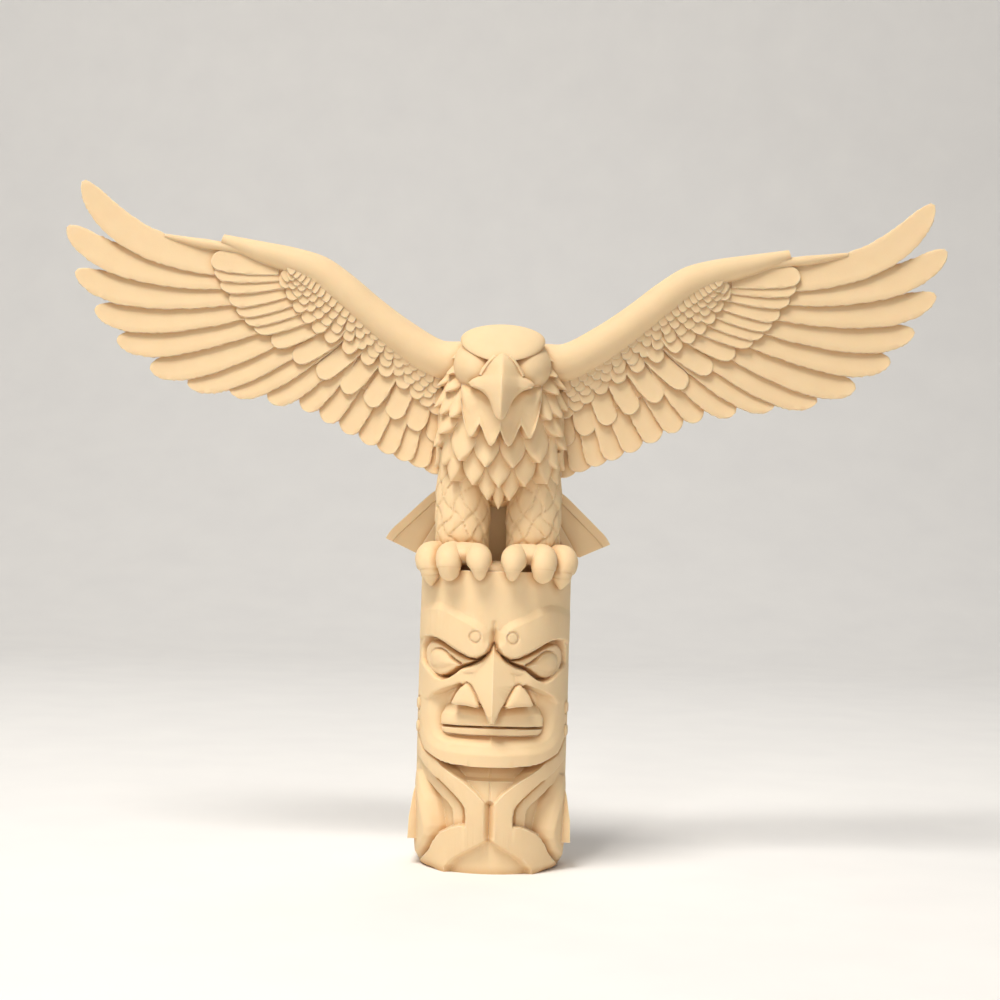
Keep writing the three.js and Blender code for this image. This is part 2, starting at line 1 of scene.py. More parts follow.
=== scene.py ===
# %% [markdown]
# # A miniature totem pole in cream tooling resin
#
# The real object is one small carving, about 98 mm tall: an eagle with raised wings stands on the rim of a
# round pole, and the pole's front carries a square-jawed face over crossed limbs. A milling cutter made it
# from one block, so every feather and lip is the same matte cream material. We build each form as a closed
# shell in millimetres, join all shells into one mesh, and give that mesh one finish.

# %% Load the fixed frame
import math
import random

import bmesh
import bpy
import numpy as np
from mathutils import Euler, Matrix, Vector


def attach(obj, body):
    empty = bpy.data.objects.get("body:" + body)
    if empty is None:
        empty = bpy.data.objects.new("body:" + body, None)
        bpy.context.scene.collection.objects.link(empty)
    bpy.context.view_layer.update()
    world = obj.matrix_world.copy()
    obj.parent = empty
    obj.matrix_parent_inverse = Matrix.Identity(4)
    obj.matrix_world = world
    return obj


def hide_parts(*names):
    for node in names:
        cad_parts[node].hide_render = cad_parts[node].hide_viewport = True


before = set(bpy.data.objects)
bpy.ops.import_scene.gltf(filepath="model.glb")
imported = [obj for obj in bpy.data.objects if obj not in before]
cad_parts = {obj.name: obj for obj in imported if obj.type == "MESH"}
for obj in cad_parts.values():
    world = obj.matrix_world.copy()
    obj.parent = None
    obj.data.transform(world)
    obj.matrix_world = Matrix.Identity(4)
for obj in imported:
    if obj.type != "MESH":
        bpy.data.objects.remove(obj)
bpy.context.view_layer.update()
MM = 0.001

# %% [markdown]
# ## Small helpers
#
# Carved feathers and limbs follow rounded lines. A Catmull-Rom line passes through every point that we give
# it, which makes it easy to draw from measured points. A shell starts as a box or a tube from a bmesh
# operator. Then one function gives each of its vertices a place, like bending a strip of clay.

# %% Lines and shares


def mix(a, b, t):
    return a + (b - a) * t


def along(values, t):
    """Reads a list of values that belong to evenly spaced stations."""
    at = min(max(t, 0), 1) * (len(values) - 1)
    i = min(int(at), len(values) - 2)
    return mix(values[i], values[i + 1], at - i)


class Line:
    """A rounded line through front-view points (x, z) or space points (x, y, z)."""

    def __init__(self, points):
        self.points = [Vector((p[0], 0, p[1])) if len(p) == 2 else Vector(p) for p in points]

    def at(self, share):
        points = self.points
        place = min(max(share, 0), 1) * (len(points) - 1)
        i = min(int(place), len(points) - 2)
        t = place - i
        b, c = points[i], points[i + 1]
        a = points[i - 1] if i else b * 2 - c
        d = points[i + 2] if i + 2 < len(points) else c * 2 - b
        before, here, after = ((q - p).length ** 0.5 for p, q in ((a, b), (b, c), (c, d)))
        start = ((b - a) / before - (c - a) / (before + here) + (c - b) / here) * here
        end = ((c - b) / here - (d - b) / (here + after) + (d - c) / after) * here
        return b + start * t + (3 * (c - b) - 2 * start - end) * t**2 + (2 * (b - c) + start + end) * t**3

    def ahead(self, share):
        step = 1e-3
        return (self.at(min(1, share + step)) - self.at(max(0, share - step))).normalized()


# %% Shells


def keep(bm):
    """Turns a closed bmesh into an object whose faces point outwards."""
    bmesh.ops.recalc_face_normals(bm, faces=bm.faces)
    if bm.calc_volume(signed=True) < 0:
        bmesh.ops.reverse_faces(bm, faces=bm.faces)
    mesh = bpy.data.meshes.new("shell")
    bm.to_mesh(mesh)
    bm.free()
    return bpy.data.objects.new("shell", mesh)


def placed(bm, place):
    """Moves every vertex to the place that the function gives for it."""
    for v in bm.verts:
        v.co = place(v.co)
    return bm


def whole_edges(bm, axis):
    """The edges that run from end to end of a shape of size 1, along the axis with that number."""
    return [e for e in bm.edges if abs(e.verts[0].co[axis] - e.verts[1].co[axis]) > 0.9]


templates = {}


def block(steps, across):
    """A unit box round the origin, cut into equal cells along x and y."""
    cells = (steps, across)
    if cells not in templates:
        bm = bmesh.new()
        bmesh.ops.create_cube(bm, size=1)
        for axis, count in enumerate(cells):
            bmesh.ops.subdivide_edges(bm, edges=whole_edges(bm, axis), cuts=count - 1, use_grid_fill=True)
        templates[cells] = bpy.data.meshes.new("block")
        bm.to_mesh(templates[cells])
        bm.free()
    bm = bmesh.new()
    bm.from_mesh(templates[cells])
    return bm


def column(sides, steps):
    """A closed upright cylinder of radius 1 and height 1, cut into equal steps."""
    bm = bmesh.new()
    bmesh.ops.create_cone(bm, cap_ends=True, segments=sides, radius1=1, radius2=1, depth=1)
    bmesh.ops.subdivide_edges(bm, edges=whole_edges(bm, 2), cuts=steps - 1)
    return bm


def tube(line, widths, depths, sides, steps):
    """A closed limb along a line, with its half widths across and in depth at each station."""

    def place(co):
        t = co.z + 0.5
        ahead = line.ahead(t)
        side = Vector((-ahead.z, 0, ahead.x))
        if side.length < 0.03:
            side = Vector((1, 0, 0))
        side.normalize()
        out = ahead.cross(side).normalized()
        return line.at(t) + side * co.x * along(widths, t) + out * co.y * along(depths, t)

    return placed(column(sides, steps), place)


def ball(place, around=40, rings=28):
    """A sphere of radius 1, with its poles up and down, whose vertices the function places."""
    bm = bmesh.new()
    bmesh.ops.create_uvsphere(bm, u_segments=around, v_segments=rings, radius=1)
    return placed(bm, place)


def new_verts(result):
    """The vertices that an extrusion has made."""
    return [item for item in result["geom"] if isinstance(item, bmesh.types.BMVert)]


def mirrored(shell):
    """A copy of a shell on the other side of the middle plane."""
    bm = bmesh.new()
    bm.from_mesh(shell.data)
    bmesh.ops.scale(bm, vec=(-1, 1, 1), verts=bm.verts)
    return keep(bm)


def both(shell):
    return [shell, mirrored(shell)]


def joined(shells, operation="UNION"):
    """Joins closed shells into one with the manifold Boolean solver, which leaves no inner walls."""
    first, *others = shells
    group = bpy.data.collections.new("shells")
    for shell in others:
        group.objects.link(shell)
    bpy.context.scene.collection.objects.link(first)
    boolean = first.modifiers.new("join", "BOOLEAN")
    boolean.operation = operation
    boolean.solver = "MANIFOLD"
    boolean.operand_type = "COLLECTION"
    boolean.collection = group
    depsgraph = bpy.context.evaluated_depsgraph_get()
    mesh = bpy.data.meshes.new_from_object(first.evaluated_get(depsgraph))
    for shell in shells:
        bpy.data.objects.remove(shell)
    bpy.data.collections.remove(group)
    return bpy.data.objects.new("shell", mesh)


def thinned(shell, ratio, kept_above=None):
    """Merges triangles where the surface is flat, until only the ratio of them is left. It leaves all that
    stands above the kept height as it is."""
    bpy.context.scene.collection.objects.link(shell)
    thin = shell.modifiers.new("thin", "DECIMATE")
    thin.ratio = ratio
    if kept_above is not None:
        group = shell.vertex_groups.new(name="thin")
        group.add([v.index for v in shell.data.vertices if v.co.z < kept_above], 1, "REPLACE")
        thin.vertex_group = group.name
    depsgraph = bpy.context.evaluated_depsgraph_get()
    mesh = bpy.data.meshes.new_from_object(shell.evaluated_get(depsgraph))
    bpy.data.objects.remove(shell)
    return bpy.data.objects.new("shell", mesh)


def fill_gaps(bm):
    """Keeps the largest part of the mesh, without the sealed gaps that overlapping feathers leave inside."""
    unseen = set(bm.verts)
    parts = []
    while unseen:
        part, edge_of_part = set(), [unseen.pop()]
        while edge_of_part:
            vertex = edge_of_part.pop()
            part.add(vertex)
            for edge in vertex.link_edges:
                other = edge.other_vert(vertex)
                if other in unseen:
                    unseen.remove(other)
                    edge_of_part.append(other)
        parts.append(part)
    parts.sort(key=len)
    bmesh.ops.delete(bm, geom=[v for part in parts[:-1] for v in part], context="VERTS")
    return len(parts) - 1


# %% [markdown]
# ## The wings
#
# Each wing is a fan of flight feathers under rows of shorter coverts. The cutter left every feather as a
# slightly cupped blade, whose upper edge lies deeper than its lower one, like the slats of a blind, and its
# steps show as small notches along the rims. We could carve that into one slab, but it is simpler to bend a
# thin box along a curve for each blade, and to lay the rows one over another.

# %% Wing sizes
WING_THICKNESS = 1.1
WING_SET_BACK = 1.2
WING_SWEEP = 3.0
WING_SWEEP_POWER = 1.3
WING_REACH = 64
FEATHER_TILT = 0.15
LAYER_STEP = 0.5
RIM_DROP = 0.16
BACK_STEP = 0.3
LIP_RISE = 0.07


def swept(co):
    """The wing is carved flat and then swept back towards its tip."""
    back = WING_SWEEP * (max(co.x, 0) / WING_REACH) ** WING_SWEEP_POWER
    return Vector((co.x, co.y + WING_SET_BACK + back, co.z))


def leaf_end(t):
    """The outline of a long feather, as a share of its half width: it narrows gently to a rounded tip."""
    return math.sqrt(max(0.04, 1 - max(0, (t - 0.6) / 0.4) ** 2.4))


def blunt_end(share_round):
    """An outline with parallel sides, whose last share is a half circle."""
    return lambda t: math.sqrt(max(0.02, 1 - max(0, (t - 1 + share_round) / share_round) ** 2))


# The stations across a blade crowd towards its two rims, where the cutter left a small lip and a round.
SECTION = [-1, -0.93, -0.6, 0, 0.55, 0.88, 1]
CUTTER_STEP = 0.42
cutter = random.Random(7)


def wing_feather(root, tip, bow, bend, half_width, layer, end=leaf_end, back=0.0, notch=0.17):
    """A blade from root to tip. It starts below its chord by the angle bow, then curves up to the tip. Its
    layer is how far it stands forward of the flight feathers, and notch the depth of the cutter's steps."""
    chord = tip - root
    start = math.atan2(chord.z, chord.x) - bow
    control = root + Vector((math.cos(start), 0, math.sin(start))) * chord.length * bend
    steps = max(8, round(chord.length / CUTTER_STEP))
    notches = [notch * cutter.random() for _ in range(steps + 1)]

    def place(co):
        t = 1 - (0.5 - co.x) ** 1.3
        side = along(SECTION, co.y + 0.5)
        rim = max(0, (abs(side) - 0.6) / 0.4) ** 3 + max(0, (t - 0.97) / 0.03) ** 2
        lip = LIP_RISE * max(0, 1 - abs(side - 0.9) / 0.3)
        centre = root * (1 - t) ** 2 + control * 2 * t * (1 - t) + tip * t**2
        ahead = ((control - root) * (1 - t) + (tip - control) * t).normalized()
        across = side * end(t) * half_width
        if abs(side) == 1:
            across -= side * notches[round((co.x + 0.5) * steps)]
        cupped = ((side + 1) ** 2 / 2 - 1) * half_width * end(t) * FEATHER_TILT
        front = WING_THICKNESS + layer + cupped + lip - RIM_DROP * min(1, rim)
        behind = back + BACK_STEP * (side + 1) / 2
        y = -front if co.z > 0 else -behind
        return Vector((centre.x + ahead.z * across, y, centre.z - ahead.x * across))

    return keep(placed(block(steps, len(SECTION) - 1), place))


# %% Flight feathers
flight_tips = Line([
    (62.3, 97.6), (64.4, 90.9), (63.0, 84.4), (60.0, 79.0), (56.6, 74.6), (51.6, 70.6), (46.0, 68.5),
    (39.8, 67.7), (34.2, 66.6), (29.2, 65.2),
])
flight_roots = Line([(37.5, 86.3), (32.6, 83.0), (28.2, 80.4), (24.0, 77.6), (21.5, 75.2)])
secondary_tips = Line([(29.2, 65.2), (18.3, 59.5), (9.6, 56.0)])
secondary_roots = Line([(21.5, 75.2), (15.0, 70.6), (9.2, 66.0)])
PRIMARIES = 9
PRIMARY_HALF_WIDTH = 2.3
SECONDARIES = 8
SECONDARY_HALF_WIDTH = 1.85

wing_shells = []
for i in range(PRIMARIES):
    share = i / PRIMARIES
    wing_shells.append(wing_feather(
        flight_roots.at(share), flight_tips.at(share), bow=math.radians(10 + 16 * math.exp(-i / 1.5)),
        bend=0.67 + 0.11 * (1 - math.exp(-i / 2)), half_width=PRIMARY_HALF_WIDTH, layer=0))
for i in range(SECONDARIES):
    share = i / (SECONDARIES - 1)
    wing_shells.append(wing_feather(
        secondary_roots.at(share), secondary_tips.at(share), bow=math.radians(mix(8, 3, share)),
        bend=0.75, half_width=SECONDARY_HALF_WIDTH, layer=0, end=blunt_end(0.22)))
print("flight feathers:", len(wing_shells))

# %% Coverts
greater_tips = Line([
    (42.9, 86.6), (42.0, 84.0), (40.0, 80.6), (38.3, 78.4), (36.0, 76.4), (31.3, 72.8), (25.7, 69.2),
    (19.9, 66.0), (14.5, 63.2), (9.6, 60.6),
])
greater_roots = Line([(33.0, 85.8), (28.0, 83.2), (23.5, 79.6), (16.0, 74.4), (9.2, 70.0)])
median_tips = Line([(32.8, 83.2), (30.0, 78.6), (26.2, 75.2), (19.4, 71.3), (13.0, 67.2), (9.6, 64.6)])
median_roots = Line([(28.5, 85.4), (25.0, 83.0), (20.0, 79.0), (14.5, 75.0), (9.4, 71.4)])


def covert_row(count, tips, roots, half_width, layer, share_round, stagger=0.0, notch=0.14):
    """Lays a row of coverts from the hand to the shoulder. The stagger is a share of a feather."""
    for i in range(count):
        share = (i + stagger) / (count - 1)
        if share <= 1:
            wing_shells.append(wing_feather(
                roots(share), tips(share), bow=math.radians(6), bend=0.7, half_width=half_width,
                layer=layer, end=blunt_end(share_round), back=0.3 * WING_THICKNESS, notch=notch))


covert_row(15, greater_tips.at, greater_roots.at, 1.6, LAYER_STEP, 0.24)
covert_row(13, median_tips.at, median_roots.at, 1.25, 2 * LAYER_STEP, 0.3)
arm_edge = Line([(31.0, 85.0), (27.0, 82.6), (22.0, 78.8), (16.0, 74.2), (9.4, 69.4)])
# Each row of small coverts: how far up it lies towards the arm, how many feathers it has, their half width.
SMALL_ROWS = ((0.3, 17, 0.95), (0.54, 20, 0.82), (0.78, 23, 0.72))
SMALL_LAYER_STEP = 0.22
for row, (up, count, half_width) in enumerate(SMALL_ROWS):
    layer = 2 * LAYER_STEP + SMALL_LAYER_STEP * (row + 1)
    covert_row(
        count,
        lambda t, up=up: median_tips.at(t).lerp(arm_edge.at(t), up),
        lambda t, up=up: median_tips.at(t).lerp(arm_edge.at(t), min(1.1, up + 0.5)),
        half_width, layer, 0.45, stagger=0.5 * (row % 2), notch=0.16)
print("feathers in a wing:", len(wing_shells))

# %% The arm and the plate behind the feathers
arm_line = Line([
    (1.0, -1.4, 71.8), (5.0, -1.4, 72.0), (9.5, -1.3, 72.6), (15.0, -1.2, 75.8), (19.5, -1.1, 79.1),
    (23.6, -1.1, 82.5), (27.0, -1.0, 84.9), (31.0, -1.0, 86.4), (36.5, -0.8, 87.9), (41.4, -0.7, 89.4),
])
ARM_WIDTHS = [3.3, 3.4, 2.9, 2.7, 2.6, 2.5, 2.4, 2.05, 1.5, 0.8]
ARM_DEPTHS = [3.3, 3.4, 3.0, 2.8, 2.6, 2.5, 2.4, 2.1, 1.6, 1.0]
wing_shells.append(keep(tube(arm_line, ARM_WIDTHS, ARM_DEPTHS, 24, 40)))
thumb_line = Line([(38, -0.9, 87.9), (44, -0.8, 88.7), (50, -0.6, 89.8)])
THUMB_WIDTHS = [0.7, 0.75, 0.3]
THUMB_DEPTHS = [0.8, 0.7, 0.3]
wing_shells.append(keep(tube(thumb_line, THUMB_WIDTHS, THUMB_DEPTHS, 12, 12)))


def plate(points, front, back):
    """A flat slab with an outline drawn in the front view."""
    bm = bmesh.new()
    rim = bm.faces.new([bm.verts.new((x, -back, z)) for x, z in points])
    grown = bmesh.ops.extrude_face_region(bm, geom=[rim])
    bmesh.ops.translate(bm, vec=(0, back - front, 0), verts=new_verts(grown))
    return bm


wing_shells.append(keep(plate([
    (4, 74), (9.5, 74), (15, 76.5), (20, 80), (25, 84), (31, 87), (37, 87.8), (40, 86), (38, 82),
    (34.5, 78), (30.5, 74.6), (24, 70.2), (17, 66.4), (9, 62.5), (4, 62),
], WING_THICKNESS, 0)))

wing = joined(wing_shells)
for v in wing.data.vertices:
    v.co = swept(v.co)
print("one wing:", len(wing.data.polygons), "faces")

# %% [markdown]
# ## The pole
#
# The pole's carving is shallow relief on a round post. Cutting each hollow with a Boolean would take dozens
# of tools. Instead we wrap a fine grid into a cylinder and paint levels on it: inside each outline the
# surface moves to that outline's distance from the axis, with a short slope at the edge, where the cutter's
# radius left one. The plain back has few columns, and the rim above the collar few rows.

# %% Pole grid
POLE_HEIGHT = 42.5
POLE_RADIUS = 10.8
FINE_ANGLE = math.radians(82)
FINE_COLUMNS = 206
COARSE_COLUMNS = 44
ROWS = 270
COLLAR_ROWS = 6
COLLAR_BOTTOM = 38.2

columns = FINE_COLUMNS + COARSE_COLUMNS
bm = bmesh.new()
bmesh.ops.create_grid(bm, x_segments=columns, y_segments=ROWS, size=1)
grid = np.array([v.co for v in bm.verts])
turn = (grid[:, 0] + 1) / 2 * columns
fine = turn < FINE_COLUMNS
angle = np.where(
    fine,
    -FINE_ANGLE + 2 * FINE_ANGLE * turn / FINE_COLUMNS,
    FINE_ANGLE + (2 * math.pi - 2 * FINE_ANGLE) * (turn - FINE_COLUMNS) / COARSE_COLUMNS)
row = (grid[:, 1] + 1) / 2 * ROWS
height = np.interp(row, [0, ROWS - COLLAR_ROWS, ROWS], [0, COLLAR_BOTTOM, POLE_HEIGHT])
from_front = np.arccos(np.clip(np.cos(angle), -1, 1))
facing = np.clip(np.cos(angle), 0, 1)
radius = np.full(angle.shape, POLE_RADIUS)
print("pole grid:", columns, "by", ROWS, "cells")

# %% Painting levels
front = np.cos(angle) > 0


def across_at(surface):
    """How far from the middle plane each grid point would stand on a surface, in the front view."""
    return np.where(front, surface * np.sin(from_front), 99.0)


def distance_to(points, surface):
    """How far each grid point lies from a line through the points, on a surface."""
    across = across_at(surface)
    nearest = np.full(across.shape, 1e9)
    for (ax, az), (bx, bz) in zip(points, points[1:]):
        ex, ez = bx - ax, bz - az
        t = np.clip(((across - ax) * ex + (height - az) * ez) / (ex * ex + ez * ez), 0, 1)
        nearest = np.minimum(nearest, np.hypot(across - ax - t * ex, height - az - t * ez))
    return nearest


def depth_inside(outline, surface):
    """How far each grid point lies inside a closed outline, below zero outside it."""
    across = across_at(surface)
    ring = outline + outline[:1]
    inside = np.zeros(across.shape, bool)
    for (ax, az), (bx, bz) in zip(ring, ring[1:]):
        if bz != az:
            crossing = ax + (height - az) / (bz - az) * (bx - ax)
            inside ^= ((az > height) != (bz > height)) & (across < crossing)
    return np.where(inside, 1, -1) * distance_to(ring, surface)


def slope(value, low, high):
    """Rises smoothly from 0 to 1 while the value goes from low to high."""
    t = np.clip((value - low) / (high - low), 0, 1)
    return t * t * (3 - 2 * t)


def rounded(outline, times=2):
    """Cuts the corners of an outline, so that it runs smoothly."""
    for _ in range(times):
        cut = []
        for (ax, az), (bx, bz) in zip(outline, outline[1:] + outline[:1]):
            cut += [(mix(ax, bx, 0.25), mix(az, bz, 0.25)), (mix(ax, bx, 0.75), mix(az, bz, 0.75))]
        outline = cut
    return outline


def level(offset):
    """The radius at an offset from the pole's skin. Offsets die away towards the pole's sides."""
    return POLE_RADIUS + offset * np.where(np.asarray(offset) < 0, np.minimum(1, 2 * facing), facing)


def sunk(outline, floor, width=0.2):
    """Lowers the surface inside an outline, down a slope of that width."""
    return mix(radius, np.minimum(radius, level(floor)), slope(depth_inside(outline, radius), 0, width))


STEP_SOFTNESS = 0.1


def raised(outline, edge, crest, width, bulge=2, drawn_at=None):
    """Raises the surface inside an outline: a step up to the edge level, then a round rise to the crest.
    A bulge of 1 makes that rise a flat facet. The outline is drawn at the edge level, or at another one."""
    depth = depth_inside(outline, level(edge if drawn_at is None else drawn_at))
    share = (1 - (1 - np.clip(depth / width, 0, 1)) ** bulge) ** (1 / bulge)
    higher = np.maximum(radius, level(mix(edge, crest, share)))
    return mix(radius, higher, slope(depth, -STEP_SOFTNESS, STEP_SOFTNESS))


def groove(points, deep, half_width):
    """Cuts a V-shaped line through the points."""
    return radius - deep * np.clip(1 - distance_to(points, radius) / half_width, 0, 1)


# %% [markdown]
# ## The face on the pole
#
# The face has deep sockets under heavy brows, a sharp ridge of a nose over a wide mouth, and a square jaw.
# Each form is an outline of points (x, height) on its right half, painted from the deepest to the most
# forward. An outline that crosses the middle plane starts at FAR, a little beyond it.

# %% Socket, brow and eye
FAR = -3
SOCKET = [
    (1.2, 30.9), (2.5, 30.3), (3.6, 30.45), (4.9, 31.05), (6.1, 31.7), (7.1, 32.3), (8.0, 32.75),
    (9.05, 33.0), (9.95, 32.7), (10.4, 31.3), (10.4, 29.4), (9.9, 28.6), (9.2, 28.1), (8.2, 27.35),
    (7.4, 27.05), (6.5, 27.2), (5.7, 27.75), (4.6, 28.65), (3.2, 29.15), (1.8, 29.9), (0.9, 30.6),
]
SOCKET_LINE = [
    (0, 32.4), (0.45, 31.35), (1.8, 30.05), (3.2, 29.3), (4.6, 28.8), (5.7, 27.9), (6.5, 27.4),
    (7.4, 27.15), (8.2, 27.45),
]
BROW_TOP = [
    (0.45, 33.0), (0.6, 34.1), (1.2, 35.0), (2.2, 35.7), (3.6, 36.3), (6.0, 37.5), (7.7, 38.0), (9.2, 37.8),
    (10.7, 37.0), (13, 36.3),
]
BROW = BROW_TOP + [
    (13, 32.3), (10.6, 32.2), (9.95, 32.8), (9.05, 33.0), (8.0, 32.8), (7.1, 32.45), (6.1, 31.9),
    (4.9, 31.25), (3.6, 30.6), (2.5, 30.45), (1.4, 30.9), (0.75, 31.8),
]
LID = [
    (2.2, 29.95), (3.6, 30.2), (4.9, 30.75), (6.1, 31.35), (7.1, 31.95), (8.0, 32.25), (8.7, 32.2),
    (9.3, 31.5), (9.55, 30.6), (9.5, 29.6), (9.2, 28.8), (8.7, 28.1), (8.1, 27.6), (7.4, 27.4),
    (6.5, 27.6), (5.7, 28.15), (4.6, 29.05), (3.2, 29.5),
]
EYEBALL = [
    (4.7, 29.4), (5.3, 29.65), (6.0, 30.2), (6.8, 30.95), (7.5, 31.3), (8.25, 31.15), (8.8, 30.6),
    (8.95, 29.9), (8.9, 29.2), (8.6, 28.5), (7.9, 28.15), (7.1, 28.25), (6.4, 28.5), (5.7, 28.85),
]
SOCKET_FLOOR = -1.6
BROW_BEVEL, BROW_BEVEL_WIDTH = 0.75, 1.1
radius = sunk(SOCKET, SOCKET_FLOOR)
bevel = BROW_BEVEL * np.clip(1 - distance_to(BROW_TOP, radius) / BROW_BEVEL_WIDTH, 0, 1)
radius = raised(BROW, 0.45 - bevel, 0.7 - bevel, 0.3)
radius = groove([(0, 35.3), (0, 32.0)], 0.25, 0.5)
radius = groove([(0, 34.0), (0, 32.0)], 0.45, 0.7)
radius = raised(rounded(LID, 1), -0.8, -0.3, 0.45)
radius = groove(EYEBALL[:9], 0.5, 0.22)
radius = groove([EYEBALL[0], EYEBALL[1], EYEBALL[2]], 0.4, 0.4)
radius = raised(rounded(EYEBALL, 1), -0.65, 0.1, 1.9)
radius = groove(SOCKET_LINE, 0.8, 0.36)
RING_CENTRE, RING_RADIUS, RING_SIDES = (2.65, 33.3), 0.8, 16
ring = [
    (RING_CENTRE[0] + RING_RADIUS * math.cos(a), RING_CENTRE[1] + RING_RADIUS * math.sin(a))
    for a in np.linspace(0, math.tau, RING_SIDES + 1)]
radius = groove(ring, 0.24, 0.2)
print("face so far, deepest and highest radius:", round(radius.min(), 2), round(radius.max(), 2))

# %% Mouth, cheeks and nose
MOUTH = [
    (FAR, 28.5), (4.2, 28.5), (6.5, 27.7), (8.3, 26.9), (9.3, 25.7), (9.4, 24.0), (9.3, 22.3), (9.1, 20.4),
    (8.6, 19.0), (7.5, 18.1), (5.5, 17.75), (FAR, 17.65),
]
UPPER_LIP = [(FAR, 20.7), (0, 20.7), (7.15, 20.55), (7.2, 21.8), (6.5, 23.2), (5.0, 24.4), (FAR, 24.4)]
LOWER_LIP = [(FAR, 19.5), (6.5, 19.4), (7.0, 19.8), (7.1, 20.4), (0, 20.6), (FAR, 20.6)]
MOUTH_FLOOR, MOUTH_SLOPE = -1.9, 1.9
radius = sunk(rounded(MOUTH), MOUTH_FLOOR, width=MOUTH_SLOPE)
lip_crest = np.interp(height, [20.7, 22.2, 23.6], [-0.55, -0.75, -1.7])
radius = raised(UPPER_LIP, lip_crest - 0.35, lip_crest, 0.5)
radius = raised(LOWER_LIP, -0.95, -0.75, 0.2)
radius = groove([(FAR, 20.65), (0, 20.65), (7.1, 20.45)], 0.4, 0.18)
CHEEK = [
    (FAR, 32.4), (0.0, 32.4), (0.45, 31.35), (1.8, 30.05), (3.2, 29.3), (4.6, 28.8), (5.7, 27.9),
    (6.5, 27.35), (7.4, 27.05), (8.2, 27.35), (9.2, 28.1), (10.3, 29.3), (13, 29.5), (13, 23.6),
    (9.3, 23.7), (8.5, 24.8), (7.3, 25.5), (5.9, 26.1), (4.6, 26.6), (1.6, 23.7), (1.35, 23.3),
    (0.6, 21.6), (0.42, 21.2), (FAR, 21.2),
]
# The nose is a ridge whose flat sides fall back from the middle plane. Its reach is given from the tip up.
NOSE_FALL = 0.5
NOSE_HEIGHTS = [21.2, 22.4, 24.3, 26.7, 29.1, 31.2, 32.2]
NOSE_REACH = [12.0, 12.5, 12.4, 12.0, 11.5, 11.0, 10.7]
ridge = np.interp(height, NOSE_HEIGHTS, NOSE_REACH)
turned = np.tan(np.clip(from_front, 0, 1.1))
nose_x = ridge * turned / (1 + NOSE_FALL * turned)
nose = np.hypot(nose_x, ridge - NOSE_FALL * nose_x)
cheek = mix(nose, level(0.35), slope(nose_x, 3.0, 5.5))
inside_cheek = depth_inside(CHEEK, cheek)
cheek = cheek - 0.3 * np.clip(1 - inside_cheek / 0.4, 0, 1) ** 2
radius = mix(radius, np.maximum(radius, cheek), slope(inside_cheek, -0.05, 0.15))
radius = groove(SOCKET_LINE[1:], 0.3, 0.25)
NOSTRIL = [
    (3.67, 26.75), (3.1, 26.4), (2.37, 25.2), (1.65, 23.7), (2.3, 23.35), (3.7, 23.6), (5.1, 23.6),
    (5.85, 23.75), (5.2, 25.2), (4.5, 26.2),
]
radius = groove([*NOSTRIL[7:], *NOSTRIL[:4]], 0.5, 0.25)
hood = np.interp(height, [23.3, 26.8], [0.7, 0.0])
radius = raised(NOSTRIL, hood - 0.1, hood + 0.5, 1.2)
print("the nose reaches to", round(radius.max(), 2), "mm from the axis")

# %% Throat and jaw
THROAT = [
    (FAR, 15.8), (8.7, 16.6), (7.0, 14.85), (5.6, 13.95), (4.4, 13.25), (3.4, 12.55), (1.95, 11.4),
    (0.95, 10.3), (0.4, 9.6), (FAR, 9.4),
]
throat_floor = np.interp(height, [9.6, 13.1, 13.35, 15.4], [-0.3, -1.0, -2.2, -3.0])
radius = sunk(THROAT, throat_floor, width=0.15)
radius = groove([(0, 15.2), (0, 9.4)], 0.14, 0.16)
JAW_EDGE = [
    (FAR, 15.1), (2.0, 15.1), (4.2, 15.15), (5.6, 15.25), (7.05, 15.5), (8.5, 16.15), (9.5, 16.75),
    (10.0, 17.6), (10.45, 18.7),
]
JAW = JAW_EDGE + [
    (13, 19.5), (13, 24.6), (9.0, 24.6), (9.2, 22.3), (9.1, 20.4), (8.6, 19.0), (7.5, 18.1), (5.5, 17.75),
    (FAR, 17.65),
]
JAW_ROLL = 0.6
roll = JAW_ROLL * slope(-depth_inside(rounded(MOUTH), level(0)), -0.2, 1.0)
radius = groove(JAW_EDGE[4:], 0.5, 0.3)
radius = mix(radius, np.maximum(radius, level(roll)), slope(depth_inside(JAW, level(roll)), -0.04, 0.08))
print("the throat lies", round(radius.min(), 2), "mm from the axis")

# %% [markdown]
# ## The limbs on the pole
#
# Below the jaw a sunk band and a deeper panel run down each side, between the thigh and the knee. The
# pole's foot is rounded over at its front corners. The folded wing tips of this figure stand proud of the
# pole's sides, so they are slabs of their own.

# %% Bands, panels, thighs and knees
THIGH_EDGE = [(3.9, 6.75), (4.7, 6.6), (5.5, 6.3), (6.7, 5.6), (7.4, 4.9), (8.0, 3.9), (8.5, 2.7)]
KNEE_FOOT = [(9.3, 1.7), (10.3, 0.6), (13, -1)]
BAND = [
    (13, 17.0), (10.3, 15.4), (9.1, 14.15), (7.6, 12.95), (6.0, 11.7), (4.75, 10.6), (4.0, 9.8),
    (3.6, 9.1), (3.45, 8.0), (3.5, 6.8), *THIGH_EDGE, *KNEE_FOOT,
]
PANEL = [
    (13, 15.2), (10, 13.0), (8.7, 12.0), (7.4, 10.85), (6.0, 9.75), (5.35, 9.0), (5.1, 8.2), (5.05, 6.45),
    *THIGH_EDGE[2:], *KNEE_FOOT,
]
BELLY = [
    (FAR, 5.3), (0, 5.3), (1.1, 4.6), (2.4, 3.85), (3.8, 3.05), (4.9, 2.3), (5.6, 1.55), (6.2, 0.8),
    (6.5, -1.5), (FAR, -1.5),
]
BELLY_FLOOR, BAND_FLOOR, PANEL_FLOOR = -1.1, -1.15, -2.3
